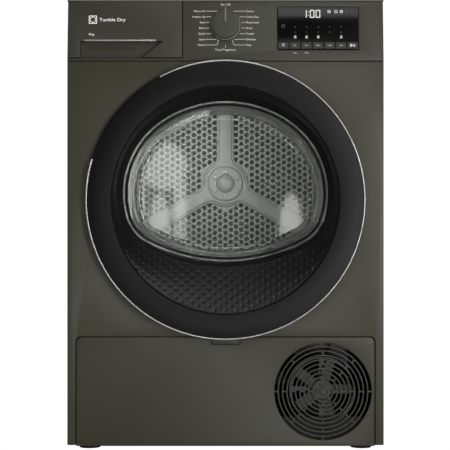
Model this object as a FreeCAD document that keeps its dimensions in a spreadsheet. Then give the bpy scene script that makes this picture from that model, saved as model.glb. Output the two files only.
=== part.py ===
import FreeCAD, Part
import math
import os
import Sketcher

# A free-standing heat-pump tumble dryer: steel cabinet, round door with a glass bowl, control
# fascia, condensate drawer, kick flap, drum with its drive, and the heat pump in the base.
# Millimetres; +Z up, the front faces -Y, the origin is under the middle of the cabinet on the floor.

document = FreeCAD.newDocument("TumbleDryer")
sheet = document.addObject("Spreadsheet::Sheet", "Sizes")
sheet_rows = []
nodes = {}


class Size:
    """A length that knows its value and the spreadsheet expression that gives it."""

    def __init__(self, value, text):
        self.value = value
        self.text = text

    def __add__(self, other):
        return combine(self, "+", other)

    def __radd__(self, other):
        return combine(other, "+", self)

    def __sub__(self, other):
        return combine(self, "-", other)

    def __rsub__(self, other):
        return combine(other, "-", self)

    def __mul__(self, other):
        return combine(self, "*", other)

    def __rmul__(self, other):
        return combine(other, "*", self)

    def __truediv__(self, other):
        return combine(self, "/", other)

    def __neg__(self):
        return combine(0.0, "-", self)


def as_size(number):
    return number if isinstance(number, Size) else Size(float(number), "%g" % number)


def combine(left, sign, right):
    left, right = as_size(left), as_size(right)
    results = {
        "+": left.value + right.value,
        "-": left.value - right.value,
        "*": left.value * right.value,
        "/": left.value / right.value if right.value else 0.0,
    }
    return Size(results[sign], "(%s %s %s)" % (left.text, sign, right.text))


def square_root(number):
    return Size(math.sqrt(number.value), "sqrt(%s)" % number.text)


def cosine(degrees):
    degrees = as_size(degrees)
    return Size(math.cos(math.radians(degrees.value)), "cos(%s)" % degrees.text)


def sine(degrees):
    degrees = as_size(degrees)
    return Size(math.sin(math.radians(degrees.value)), "sin(%s)" % degrees.text)


def size(alias, value):
    """Write one driving size into the spreadsheet under its alias."""
    sheet_rows.append(alias)
    row = len(sheet_rows)
    sheet.set("A%d" % row, alias)
    sheet.set("B%d" % row, str(value))
    sheet.setAlias("B%d" % row, alias)
    return Size(float(value), "Sizes." + alias)


# ---- driving sizes -------------------------------------------------------------------------
# cabinet
width = size("width", 597)
height = size("height", 850)
depth = size("depth", 610)
door_projection = size("door_projection", 30)
rear_cover_depth = size("rear_cover_depth", 12)
sheet_steel = size("sheet_steel", 0.8)
plastic_wall = size("plastic_wall", 3)
seam = size("seam", 0.6)
skirt_bottom = size("skirt_bottom", 10)
tray_bottom = size("tray_bottom", 6)
tray_wall_height = size("tray_wall_height", 54)
tray_setback = size("tray_setback", 25)
top_thickness = size("top_thickness", 18)
lid_thickness = size("lid_thickness", 2)
lid_rounding = size("lid_rounding", 1.5)
flange = size("flange", 14)
panel_clearance = size("panel_clearance", 1)
cut_margin = size("cut_margin", 1)
cut_reach = size("cut_reach", 5)
gland_inset = size("gland_inset", 60)
gland_height = size("gland_height", 80)
gland_radius = size("gland_radius", 12)
gland_inside = size("gland_inside", 8)
gland_outside = size("gland_outside", 9)
gland_wall = size("gland_wall", 3)
gland_rim = size("gland_rim", 4)
duct_cover_inset = size("duct_cover_inset", 38)
panel_screw_inset = size("panel_screw_inset", 8)
panel_screw_end = size("panel_screw_end", 15)

# control fascia
fascia_height = size("fascia_height", 115.6)
fascia_lip = size("fascia_lip", 5.6)
fascia_depth = size("fascia_depth", 30)
drawer_width = size("drawer_width", 217)
drawer_gap = size("drawer_gap", 1)
drawer_depth = size("drawer_depth", 24)
grip_height = size("grip_height", 31)
grip_depth = size("grip_depth", 16)
grip_left = size("grip_left", 24.5)
grip_top_length = size("grip_top_length", 155.5)
grip_bottom_length = size("grip_bottom_length", 117)
grip_lip = size("grip_lip", 6)
grip_reach = size("grip_reach", 18)
trim_length = size("trim_length", 136)
trim_height = size("trim_height", 3.5)
trim_inset = size("trim_inset", 7)
trim_stand = size("trim_stand", 0.8)
trim_gap = size("trim_gap", 0.5)
lip_side_gap = size("lip_side_gap", 2)
tank_length = size("tank_length", 400)
tank_wall = size("tank_wall", 2.5)
tank_travel_gap = size("tank_travel_gap", 4)
tank_floor_gap = size("tank_floor_gap", 5)
tank_left_gap = size("tank_left_gap", 2)
tank_right_gap = size("tank_right_gap", 7)
tank_drum_gap = size("tank_drum_gap", 10)
inlet_inset = size("inlet_inset", 30)
inlet_length = size("inlet_length", 70)
inlet_width = size("inlet_width", 30)

# knob, display and keys
knob_rise = size("knob_rise", 67)
knob_radius = size("knob_radius", 26.2)
knob_ring_radius = size("knob_ring_radius", 27.7)
knob_length = size("knob_length", 22)
knob_shaft = size("knob_shaft", 3)
pointer_width = size("pointer_width", 3.6)
pointer_start = size("pointer_start", 3.93)
pointer_raise = size("pointer_raise", 0.6)
knob_edge = size("knob_edge", 2)
display_left = size("display_left", 97.9)
display_width = size("display_width", 153.1)
display_rise = size("display_rise", 20.9)
display_height = size("display_height", 81.1)
display_thickness = size("display_thickness", 2)
key_width = size("key_width", 20)
key_height = size("key_height", 13)
key_gap = size("key_gap", 1.8)
key_margin = size("key_margin", 2)
key_length = size("key_length", 6)
key_stand = size("key_stand", 1.5)
display_ledge = size("display_ledge", 1)

# door
door_drop = size("door_drop", 262.4)
door_radius = size("door_radius", 261.5)
mouth_gap = size("mouth_gap", 4)
ring_face_width = size("ring_face_width", 47.5)
ring_skin = size("ring_skin", 5)
ring_wall = size("ring_wall", 6.5)
ring_rim_depth = size("ring_rim_depth", 22)
trim_ring_width = size("trim_ring_width", 3)
door_back_gap = size("door_back_gap", 2)
rear_shell_depth = size("rear_shell_depth", 6)
seal_width = size("seal_width", 11)
seal_inset = size("seal_inset", 7)
seal_groove = size("seal_groove", 3)
rear_shell_gap = size("rear_shell_gap", 2)
cone_depth = size("cone_depth", 50)
cone_taper = size("cone_taper", 6)
cone_setback = size("cone_setback", 1)
glass_top_inset = size("glass_top_inset", 26.3)
glass_bottom_inset = size("glass_bottom_inset", 98.6)
glass_side_inset = size("glass_side_inset", 20.5)
crown_excess = size("crown_excess", 1.4)
shoulder_shortfall = size("shoulder_shortfall", 47.7)
corner_shortfall = size("corner_shortfall", 138.5)
sill_excess = size("sill_excess", 106.6)
glass_wall = size("glass_wall", 5)
glass_flange = size("glass_flange", 4)
glass_flange_width = size("glass_flange_width", 10)
bowl_depth = size("bowl_depth", 112)
bowl_shrink = size("bowl_shrink", 13.5)
hinge_inset = size("hinge_inset", 9.5)
hinge_setback = size("hinge_setback", 11)
hinge_half_height = size("hinge_half_height", 62)
pin_radius = size("pin_radius", 2.5)
knuckle_radius = size("knuckle_radius", 5)
knuckle_half = size("knuckle_half", 24)
hinge_arm_height = size("hinge_arm_height", 10)
hinge_arm_half = size("hinge_arm_half", 3)
neck_inner = size("neck_inner", 16)
neck_outer = size("neck_outer", 9)
hinge_pocket_width = size("hinge_pocket_width", 18)
pin_overhang = size("pin_overhang", 2)
leaf_thickness = size("leaf_thickness", 2.5)
leaf_inset = size("leaf_inset", 8)
leaf_knuckle_gap = size("leaf_knuckle_gap", 6)
leaf_web_width = size("leaf_web_width", 8)
leaf_end_gap = size("leaf_end_gap", 2)
running_gap = size("running_gap", 0.05)
grip_start = size("grip_start", 118)
grip_sweep = size("grip_sweep", 45)
grip_inset = size("grip_inset", 25.5)
grip_rim_cut = size("grip_rim_cut", 7)
striker_width = size("striker_width", 10)
striker_height = size("striker_height", 30)
catch_width = size("catch_width", 9)
catch_reach = size("catch_reach", 12)
striker_inset = size("striker_inset", 24)
striker_reach = size("striker_reach", 18)
striker_hook_start = size("striker_hook_start", 10)

# bulkhead and drum
bulkhead_setback = size("bulkhead_setback", 25.5)
bulkhead_plate = size("bulkhead_plate", 4)
bulkhead_wall = size("bulkhead_wall", 2.5)
mouth_clearance = size("mouth_clearance", 22)
bulkhead_foot_gap = size("bulkhead_foot_gap", 6)
bulkhead_head_gap = size("bulkhead_head_gap", 2)
filter_width = size("filter_width", 196)
filter_depth = size("filter_depth", 22)
filter_height = size("filter_height", 74)
filter_setback = size("filter_setback", 10)
filter_side_gap = size("filter_side_gap", 2)
filter_end_gap = size("filter_end_gap", 1)
filter_frame = size("filter_frame", 6)
filter_face = size("filter_face", 3)
filter_bar_half = size("filter_bar_half", 30)
filter_bar_inset = size("filter_bar_inset", 8)
filter_bar_low = size("filter_bar_low", 12)
filter_bar_high = size("filter_bar_high", 1)
filter_tie_low = size("filter_tie_low", 14)
filter_tie_high = size("filter_tie_high", 10)
filter_slot_below = size("filter_slot_below", 30)
filter_slot_above = size("filter_slot_above", 25)
drum_drop = size("drum_drop", 216.4)
drum_radius = size("drum_radius", 283)
drum_wall = size("drum_wall", 0.8)
drum_front_gap = size("drum_front_gap", 75)
drum_length = size("drum_length", 440)
drum_lip = size("drum_lip", 21)
felt_thickness = size("felt_thickness", 5)
felt_inset = size("felt_inset", 3)
felt_lip_gap = size("felt_lip_gap", 2)
drum_shoulder = size("drum_shoulder", 13)
drum_sheet_gap = size("drum_sheet_gap", 0.2)
plate_setback = size("plate_setback", 4)
plate_thickness = size("plate_thickness", 2)
lifter_height = size("lifter_height", 54)
lifter_foot = size("lifter_foot", 72)
lifter_top = size("lifter_top", 26)
lifter_length = size("lifter_length", 300)
lifter_setback = size("lifter_setback", 30)
hub_radius = size("hub_radius", 42)
hub_depth = size("hub_depth", 12)
hub_edge_width = size("hub_edge_width", 6)
hub_edge_depth = size("hub_edge_depth", 5)
shaft_end = size("shaft_end", 46)
shaft_hole_gap = size("shaft_hole_gap", 1)
arm_width = size("arm_width", 30)
arm_depth = size("arm_depth", 6)
arm_reach = size("arm_reach", 266)
shaft_radius = size("shaft_radius", 10)
screw_circle = size("screw_circle", 28)
screw_radius = size("screw_radius", 4)
screw_head = size("screw_head", 2.5)
hole_pitch = size("hole_pitch", 13.8)
hole_radius = size("hole_radius", 4.9)
hole_rim_margin = size("hole_rim_margin", 26)
hole_arm_margin = size("hole_arm_margin", 2)
roller_radius = size("roller_radius", 30)
roller_width = size("roller_width", 20)
roller_axle = size("roller_axle", 6)
roller_angle = size("roller_angle", 35)
roller_setback = size("roller_setback", 15)
axle_end = size("axle_end", 45)
bearing_half_length = size("bearing_half_length", 170)
bearing_half_height = size("bearing_half_height", 30)
bearing_thickness = size("bearing_thickness", 14)
bearing_boss_radius = size("bearing_boss_radius", 24)
bearing_setback = size("bearing_setback", 20)
touch_gap = size("touch_gap", 0.3)

# kick flap and base
flap_half_width = size("flap_half_width", 281.5)
flap_top = size("flap_top", 213.5)
flap_depth = size("flap_depth", 13)
flap_wall = size("flap_wall", 3)
flap_corner = size("flap_corner", 10)
flap_notch = size("flap_notch", 44)
flap_notch_depth = size("flap_notch_depth", 4)
button_width = size("button_width", 53)
button_height = size("button_height", 9)
button_stand = size("button_stand", 0.5)
button_back = size("button_back", 8)
keeper_margin = size("keeper_margin", 4)
keeper_low = size("keeper_low", 8)
keeper_high = size("keeper_high", 2)
flap_foot_drop = size("flap_foot_drop", 2)
grille_x = size("grille_x", 184)
grille_z = size("grille_z", 111)
slot_pitch = size("slot_pitch", 8.2)
slot_first = size("slot_first", 6.6)
slot_width = size("slot_width", 5.7)
slot_bridge = size("slot_bridge", 2.5)
foot_radius = size("foot_radius", 20)
foot_stud = size("foot_stud", 5)
foot_stud_length = size("foot_stud_length", 30)
foot_inset_x = size("foot_inset_x", 39)
foot_inset_y = size("foot_inset_y", 45)

# drive and heat pump
motor_x = size("motor_x", 200)
motor_z = size("motor_z", 140)
motor_radius = size("motor_radius", 58)
motor_front = size("motor_front", 30)
motor_length = size("motor_length", 120)
motor_shaft = size("motor_shaft", 6)
pulley_radius = size("pulley_radius", 9)
belt_width = size("belt_width", 12)
belt_thickness = size("belt_thickness", 2)
belt_setback = size("belt_setback", 24)
pulley_rim = size("pulley_rim", 4)
pulley_side = size("pulley_side", 2)
pulley_flange = size("pulley_flange", 4)
motor_foot_half = size("motor_foot_half", 40)
motor_foot_inset = size("motor_foot_inset", 20)
blower_radius = size("blower_radius", 86)
blower_length = size("blower_length", 96)
blower_wheel = size("blower_wheel", 70)
blower_gap = size("blower_gap", 20)
wheel_front_gap = size("wheel_front_gap", 14)
wheel_back_gap = size("wheel_back_gap", 16)
wheel_hub_width = size("wheel_hub_width", 8)
wheel_hub_length = size("wheel_hub_length", 20)
wheel_wall = size("wheel_wall", 3)
blower_inlet_radius = size("blower_inlet_radius", 47.3)
blower_outlet_radius = size("blower_outlet_radius", 34.4)
compressor_radius = size("compressor_radius", 56)
compressor_height = size("compressor_height", 160)
compressor_y = size("compressor_y", -125)
compressor_rim = size("compressor_rim", 8)
compressor_rim_height = size("compressor_rim_height", 4)
compressor_rim_slope = size("compressor_rim_slope", 12)
dome_shoulder = size("dome_shoulder", 26)
dome_step = size("dome_step", 12)
dome_edge = size("dome_edge", 8)
dome_flat_inset = size("dome_flat_inset", 30)
exchanger_width = size("exchanger_width", 212)
exchanger_height = size("exchanger_height", 145)
exchanger_length = size("exchanger_length", 130)
exchanger_left = size("exchanger_left", -246)
fin_pitch = size("fin_pitch", 8)
fin_slot = size("fin_slot", 6.8)
fin_height = size("fin_height", 130.5)
exchanger_setback = size("exchanger_setback", 22)
exchanger_gap = size("exchanger_gap", 20)
cover_setback = size("cover_setback", 4)
cover_margin = size("cover_margin", 6)
cover_rib_inset = size("cover_rib_inset", 20)
cover_rib_depth = size("cover_rib_depth", 6)
cover_rib_low = size("cover_rib_low", 14)
cover_rib_high = size("cover_rib_high", 4)
fan_radius = size("fan_radius", 56)
fan_hub = size("fan_hub", 18)
fan_front_gap = size("fan_front_gap", 2)
fan_back_gap = size("fan_back_gap", 24)
fan_tip_gap = size("fan_tip_gap", 4)
fan_spoke_half = size("fan_spoke_half", 4)
fan_leg_half = size("fan_leg_half", 30)
fan_shaft = size("fan_shaft", 3)
fan_hub_gap = size("fan_hub_gap", 1)
blade_root = size("blade_root", 2)
blade_half_thickness = size("blade_half_thickness", 1)
blade_half_width = size("blade_half_width", 11)
blade_tilt = size("blade_tilt", 35)

# how many of each repeated piece
KEY_COUNT = 7
SCREWS_PER_SIDE = 5
HUB_SCREWS = 6
COILS = 2
FAN_BLADES = 5
SLOT_RINGS = 11

# planes worked out from them
front = -depth / 2 + door_projection
back = depth / 2 - rear_cover_depth
half_width = width / 2
fascia_bottom = height - fascia_height
fascia_top = height - lid_thickness - seam
door_centre = fascia_bottom - door_drop
drum_centre = fascia_bottom - drum_drop
knob_height = fascia_bottom + knob_rise
display_bottom = fascia_bottom + display_rise
door_face = -depth / 2
ring_inner = door_radius - ring_face_width
mouth_radius = ring_inner + mouth_gap
grip_radius = door_radius - grip_inset
glass_top = door_centre + ring_inner - glass_top_inset
glass_bottom = door_centre - ring_inner + glass_bottom_inset
glass_half_width = ring_inner - glass_side_inset
crown_radius = ring_inner + crown_excess
shoulder_radius = ring_inner - shoulder_shortfall
corner_radius = ring_inner - corner_shortfall
sill_radius = ring_inner + sill_excess
drum_front = front + drum_front_gap
drum_back = drum_front + drum_length
bulkhead_front = front + bulkhead_setback
bulkhead_back = drum_front - touch_gap - felt_thickness
glass_rim = door_face + cone_depth + plastic_wall
hinge_x = door_radius - hinge_inset
hinge_y = door_face + hinge_setback
tray_inside = front + tray_setback + plastic_wall


# ---- ways of making solids -------------------------------------------------------------------
def bind(thing, **lengths):
    for name, length in lengths.items():
        length = as_size(length)
        setattr(thing, name, length.value)
        thing.setExpression(name, length.text)


def place(thing, x, y, z, turn=FreeCAD.Rotation()):
    values = [as_size(length).value for length in (x, y, z)]
    thing.Placement = FreeCAD.Placement(FreeCAD.Vector(*values), turn)
    for axis, length in zip("xyz", (x, y, z)):
        if isinstance(length, Size):
            thing.setExpression(".Placement.Base." + axis, length.text)


def block(name, x, y, z):
    """A box between two sizes along each axis."""
    solid = document.addObject("Part::Box", name)
    bind(solid, Length=x[1] - x[0], Width=y[1] - y[0], Height=z[1] - z[0])
    place(solid, x[0], y[0], z[0])
    return solid


def rod_along_y(name, radius, x, y, z):
    solid = document.addObject("Part::Cylinder", name)
    bind(solid, Radius=radius, Height=y[1] - y[0])
    place(solid, x, y[0], z, FreeCAD.Rotation(FreeCAD.Vector(1, 0, 0), -90))
    return solid


def rod_along_z(name, radius, x, y, z):
    solid = document.addObject("Part::Cylinder", name)
    bind(solid, Radius=radius, Height=z[1] - z[0])
    place(solid, x, y, z[0])
    return solid


def join(name, *solids):
    result = document.addObject("Part::MultiFuse", name)
    result.Shapes = list(solids)
    return result


def cut(name, base, *tools):
    result = document.addObject("Part::Cut", name)
    result.Base = base
    result.Tool = tools[0] if len(tools) == 1 else join(name + "_tools", *tools)
    return result


def group(name, *solids):
    result = document.addObject("Part::Compound", name)
    result.Links = list(solids)
    return result


def node(name, thing):
    thing.Label = name
    nodes[name] = thing
    return thing


def body(name):
    return document.addObject("PartDesign::Body", name + "_body")


def sketch_on(owner, plane, shift=(0.0, 0.0, 0.0)):
    """A sketch on one of the body's own planes, moved by a shift in the sketch's own axes."""
    sketch = owner.newObject("Sketcher::SketchObject", owner.Name + "_sketch")
    features = owner.Origin.OriginFeatures
    support = [feature for feature in features if feature.Role == plane + "_Plane"][0]
    sketch.AttachmentSupport = (support, [""])
    sketch.MapMode = "FlatFace"
    values = [as_size(length).value for length in shift]
    sketch.AttachmentOffset = FreeCAD.Placement(FreeCAD.Vector(*values), FreeCAD.Rotation())
    for axis, length in zip("xyz", shift):
        if isinstance(length, Size):
            sketch.setExpression(".AttachmentOffset.Base." + axis, length.text)
    return sketch


def dimension(sketch, kind, *where_and_length):
    *where, length = where_and_length
    length = as_size(length)
    index = sketch.addConstraint(Sketcher.Constraint(kind, *where, length.value))
    if "Sizes." in length.text:
        sketch.setExpression("Constraints[%d]" % index, length.text)


def outline(sketch, points):
    """A closed straight-sided loop, each corner fixed by its two sizes."""
    corners = [FreeCAD.Vector(as_size(a).value, as_size(b).value, 0) for a, b in points]
    first = sketch.GeometryCount
    count = len(corners)
    for index in range(count):
        line = Part.LineSegment(corners[index], corners[(index + 1) % count])
        sketch.addGeometry(line, False)
    for index, (a, b) in enumerate(points):
        following = first + (index + 1) % count
        sketch.addConstraint(Sketcher.Constraint("Coincident", first + index, 2, following, 1))
        dimension(sketch, "DistanceX", -1, 1, first + index, 1, a)
        dimension(sketch, "DistanceY", -1, 1, first + index, 1, b)


def disc(sketch, x, y, radius):
    centre = FreeCAD.Vector(as_size(x).value, as_size(y).value, 0)
    circle = Part.Circle(centre, FreeCAD.Vector(0, 0, 1), as_size(radius).value)
    index = sketch.addGeometry(circle, False)
    dimension(sketch, "DistanceX", -1, 1, index, 3, x)
    dimension(sketch, "DistanceY", -1, 1, index, 3, y)
    dimension(sketch, "Radius", index, radius)


def port_outline(sketch, grow):
    """The glass's outline: crown, two shoulders, two lower corners and a curved sill, tangent."""
    crown_z = glass_top - crown_radius
    sill_z = glass_bottom + sill_radius
    shoulder_x = glass_half_width - shoulder_radius
    reach = (crown_radius - shoulder_radius).value
    shoulder_z = crown_z.value + math.sqrt(reach ** 2 - shoulder_x.value ** 2)
    # the lower corner's centre is inside both the shoulder's and the sill's circles
    from_shoulder = (shoulder_radius - corner_radius).value
    from_sill = (sill_radius - corner_radius).value
    across, up = -shoulder_x.value, sill_z.value - shoulder_z
    gap = math.hypot(across, up)
    along = (from_shoulder ** 2 - from_sill ** 2 + gap ** 2) / (2 * gap)
    aside = math.sqrt(from_shoulder ** 2 - along ** 2)
    corner_x = shoulder_x.value + (along * across + aside * up) / gap
    corner_z = shoulder_z + (along * up - aside * across) / gap
    crown_turn = math.atan2(shoulder_z - crown_z.value, shoulder_x.value)
    corner_turn = math.atan2(corner_z - shoulder_z, corner_x - shoulder_x.value)
    sill_turn = math.atan2(corner_z - sill_z.value, corner_x)
    added = as_size(grow).value
    right = [
        (shoulder_x.value, shoulder_z, shoulder_radius, corner_turn, crown_turn),
        (corner_x, corner_z, corner_radius, sill_turn, corner_turn),
    ]
    arcs = [(0.0, crown_z.value, crown_radius, crown_turn, math.pi - crown_turn)]
    arcs += [(-x, z, r, math.pi - high, math.pi - low) for x, z, r, low, high in right]
    arcs += [(0.0, sill_z.value, sill_radius, -math.pi - sill_turn, sill_turn)]
    arcs += right[::-1]
    for x, z, radius, low, high in arcs:
        circle = Part.Circle(FreeCAD.Vector(x, z, 0), FreeCAD.Vector(0, 0, 1), radius.value + added)
        sketch.addGeometry(Part.ArcOfCircle(circle, low, high), False)
    for index in range(len(arcs)):
        following = (index + 1) % len(arcs)
        sketch.addConstraint(Sketcher.Constraint("Tangent", index, 2, following, 1))
    for index, arc in enumerate(arcs):
        dimension(sketch, "Radius", index, arc[2] + grow)
    crown, left_shoulder, sill, right_shoulder = 0, 1, 3, 5
    for index, x in ((crown, 0.0), (sill, 0.0), (left_shoulder, -shoulder_x), (right_shoulder, shoulder_x)):
        dimension(sketch, "DistanceX", -1, 1, index, 3, x)
    dimension(sketch, "DistanceY", -1, 1, crown, 3, crown_z)
    dimension(sketch, "DistanceY", -1, 1, sill, 3, sill_z)


def pad(owner, sketch, length, backwards=False):
    feature = owner.newObject("PartDesign::Pad", owner.Name + "_pad")
    feature.Profile = sketch
    bind(feature, Length=length)
    feature.Reversed = backwards
    return feature


def pocket(owner, sketch, length):
    """A pocket into the solid, away from the side that its sketch faces."""
    feature = owner.newObject("PartDesign::Pocket", owner.Name + "_pocket")
    feature.Profile = sketch
    bind(feature, Length=length)
    return feature


def turned_about_y(name, x, z, profile):
    """A solid of revolution about a line along Y; the profile lists (y, radius)."""
    owner = body(name)
    sketch = sketch_on(owner, "YZ", (0.0, z, x))
    outline(sketch, profile)
    feature = owner.newObject("PartDesign::Revolution", owner.Name + "_turn")
    feature.Profile = sketch
    feature.ReferenceAxis = (sketch, ["H_Axis"])
    feature.Angle = 360.0
    return owner


def turned_about_z(name, x, y, profile):
    """A solid of revolution about an upright line; the profile lists (radius, z)."""
    owner = body(name)
    sketch = sketch_on(owner, "XZ", (x, 0.0, -y))
    outline(sketch, profile)
    feature = owner.newObject("PartDesign::Revolution", owner.Name + "_turn")
    feature.Profile = sketch
    feature.ReferenceAxis = (sketch, ["V_Axis"])
    feature.Angle = 360.0
    return owner


def tube_profile(y, radii):
    return [(y[0], radii[0]), (y[1], radii[0]), (y[1], radii[1]), (y[0], radii[1])]


def round_edges(owner, radius, wanted):
    """Round the edges of the body's latest feature that the test picks out."""
    document.recompute()
    tip = owner.Tip
    names = ["Edge%d" % (index + 1) for index, edge in enumerate(tip.Shape.Edges) if wanted(edge)]
    fillet = owner.newObject("PartDesign::Fillet", owner.Name + "_rounding")
    fillet.Base = (tip, names)
    bind(fillet, Radius=radius)


def runs_along(edge, axis):
    direction = edge.Vertexes[-1].Point - edge.Vertexes[0].Point
    return direction.Length > 0 and abs(direction.normalize().dot(axis)) > 0.999


# ---- cabinet ---------------------------------------------------------------------------------
def make_base_tray():
    """Moulded tray that carries the heat pump, with a threaded hole for each foot."""
    left, right = -half_width + 2 * sheet_steel + seam, half_width - 2 * sheet_steel - seam
    y = (front + tray_setback, back - 2 * sheet_steel - 2 * seam)
    outer = block("tray_outer", (left, right), y, (tray_bottom, tray_bottom + tray_wall_height))
    wall = plastic_wall
    hollow = block("tray_hollow", (left + wall, right - wall), (y[0] + wall, y[1] - wall),
                   (tray_bottom + wall, tray_bottom + tray_wall_height + wall))
    shell = cut("tray_shell", outer, hollow)
    bosses, holes = [], []
    for index, (x, y_foot) in enumerate(foot_places()):
        top = tray_bottom + foot_stud_length + plastic_wall
        bosses.append(rod_along_z("boss_%d" % index, 2 * foot_stud, x, y_foot, (tray_bottom, top)))
        holes.append(rod_along_z("boss_hole_%d" % index, foot_stud + running_gap, x, y_foot,
                                 (tray_bottom - wall, top - plastic_wall + seam)))
    solid = join("tray_solid", shell, *bosses)
    node("base_tray", cut("tray_drilled", solid, *holes))


def foot_places():
    x = half_width - foot_inset_x
    y_front, y_back = front + foot_inset_y, back - foot_inset_y
    return [(-x, y_front), (x, y_front), (-x, y_back), (x, y_back)]


def make_feet():
    """Four screw feet: a pad on the floor and a stud in the tray's boss."""
    names = ["foot_front_left", "foot_front_right", "foot_rear_left", "foot_rear_right"]
    for name, (x, y) in zip(names, foot_places()):
        profile = [(0.0, 0.0), (foot_radius, 0.0), (foot_radius, tray_bottom - 2 * seam),
                   (foot_stud, tray_bottom - 2 * seam), (foot_stud, tray_bottom + foot_stud_length),
                   (0.0, tray_bottom + foot_stud_length)]
        node(name, turned_about_z(name, x, y, profile))


def make_side_panels():
    """Each side is one sheet folded inwards along its front and rear edges."""
    for name, side in (("side_panel_left", -1.0), ("side_panel_right", 1.0)):
        outer, inner = half_width * side, (half_width - sheet_steel) * side
        fold = (half_width - flange) * side
        y = (front + sheet_steel + seam, back - sheet_steel - seam)
        owner = body(name)
        sketch = sketch_on(owner, "XY", (0.0, 0.0, skirt_bottom))
        outline(sketch, [
            (outer, y[0]), (fold, y[0]), (fold, y[0] + sheet_steel), (inner, y[0] + sheet_steel),
            (inner, y[1] - sheet_steel), (fold, y[1] - sheet_steel), (fold, y[1]), (outer, y[1])])
        pad(owner, sketch, height - top_thickness - seam - skirt_bottom)
        # the front fold stops below the fascia; behind it the side runs up to the worktop
        notch_back = front + (drawer_depth + panel_clearance if side < 0 else fascia_depth / 2)
        notch = block(name + "_notch", (-half_width - cut_margin, half_width + cut_margin),
                      (front - cut_margin, notch_back), (fascia_bottom - seam, height))
        node(name, cut(name + "_cut", owner, notch))


def make_top_panel():
    """Worktop: a thin lid over the fascia and drawer, with a skirt behind them."""
    owner = body("top_panel")
    lid_bottom = height - lid_thickness
    skirt = sketch_on(owner, "XY", (0.0, 0.0, height - top_thickness))
    y = (front + drawer_depth + 2 * panel_clearance, back)
    outline(skirt, [(-half_width, y[0]), (half_width, y[0]), (half_width, y[1]), (-half_width, y[1])])
    pad(owner, skirt, top_thickness - lid_thickness)
    hollow = sketch_on(owner, "XY", (0.0, 0.0, lid_bottom))
    wall = plastic_wall
    inner_x = half_width - wall
    outline(hollow, [(-inner_x, y[0] + wall), (inner_x, y[0] + wall), (inner_x, y[1] - wall),
                     (-inner_x, y[1] - wall)])
    pocket(owner, hollow, top_thickness)
    lid = sketch_on(owner, "XY", (0.0, 0.0, lid_bottom))
    lid_front = front + panel_clearance
    outline(lid, [(-half_width, lid_front), (half_width, lid_front), (half_width, back),
                  (-half_width, back)])
    pad(owner, lid, lid_thickness)
    top = height.value
    round_edges(owner, lid_rounding, lambda edge: edge.BoundBox.ZMin > top - 0.01)
    node("top_panel", owner)


def make_front_panel():
    """Front sheet with the round mouth, its folded rim, and the cut-out for the kick flap."""
    owner = body("front_panel")
    sketch = sketch_on(owner, "XZ", (0.0, 0.0, -front))
    leg, top = flap_half_width + 2 * seam, flap_top + 2 * seam
    outline(sketch, [
        (-half_width, skirt_bottom), (-leg, skirt_bottom), (-leg, top), (leg, top),
        (leg, skirt_bottom), (half_width, skirt_bottom), (half_width, fascia_bottom - seam),
        (-half_width, fascia_bottom - seam)])
    disc(sketch, 0.0, door_centre, mouth_radius)
    pad(owner, sketch, sheet_steel, backwards=True)
    rim = turned_about_y("mouth_rim", 0.0, door_centre, tube_profile(
        (front, front + flange), (mouth_radius, mouth_radius + sheet_steel)))
    catch_slot = block("catch_slot", (-striker_x - striker_width, -striker_x + striker_width),
                       (front - flange, front + flange),
                       (door_centre - striker_height, door_centre + striker_height))
    node("front_panel", cut("front_panel_cut", join("front_panel_joined", owner, rim), catch_slot))


def make_rear_panel():
    """Rear sheet, the shallow duct cover on it, the mains inlet gland and the panel screws."""
    y = (back - sheet_steel, back)
    plate = block("rear_plate", (-half_width + sheet_steel, half_width - sheet_steel), y,
                  (skirt_bottom, height - top_thickness - seam))
    gland_x, gland_z = -half_width + gland_inset, skirt_bottom + gland_height
    gland_hole = rod_along_y("gland_hole", gland_radius, gland_x, (back - flange, back + flange),
                             gland_z)
    node("rear_panel", cut("rear_panel_cut", plate, gland_hole))
    node("cable_gland", turned_about_y("cable_gland", gland_x, gland_z, [
        (back - gland_inside, gland_radius / 2), (back + gland_outside, gland_radius / 2),
        (back + gland_outside, gland_radius - gland_wall), (back + gland_wall, gland_radius + gland_rim),
        (back, gland_radius + gland_rim), (back, gland_radius), (back - gland_inside, gland_radius)]))
    cover_y = (back, back + rear_cover_depth)
    cover_radius = drum_radius - duct_cover_inset
    blower_half = blower_radius
    round_part = rod_along_y("cover_round", cover_radius, 0.0, cover_y, drum_centre)
    leg_part = block("cover_leg", (motor_x - blower_half, motor_x + blower_half), cover_y,
                     (motor_z - blower_half / 2, drum_centre))
    wall = sheet_steel
    inner_y = (back - cut_margin, back + rear_cover_depth - wall)
    round_hollow = rod_along_y("cover_round_hollow", cover_radius - wall, 0.0, inner_y, drum_centre)
    leg_hollow = block("cover_leg_hollow", (motor_x - blower_half + wall, motor_x + blower_half - wall),
                       inner_y, (motor_z - blower_half / 2 + wall, drum_centre))
    outer = join("cover_outer", round_part, leg_part)
    node("rear_duct_cover", cut("rear_duct_cover_cut", outer, round_hollow, leg_hollow))
    screws = []
    edge_x = half_width - panel_screw_inset
    run = height - top_thickness - skirt_bottom - 2 * panel_screw_end
    step = run / (SCREWS_PER_SIDE - 1)
    for side in (-1.0, 1.0):
        for index in range(SCREWS_PER_SIDE):
            z = skirt_bottom + panel_screw_end + step * index
            name = "panel_screw_%d_%d" % (side, index)
            screws.append(rod_along_y(name, screw_radius, edge_x * side, (back, back + screw_head), z))
    node("panel_screws", group("panel_screw_group", *screws))


# ---- control fascia ----------------------------------------------------------------------------
drawer_right = -half_width + drawer_width
display_right = display_left + display_width
key_pitch = key_width + key_gap
key_bottom = display_bottom + key_margin
key_top = key_bottom + key_height


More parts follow.
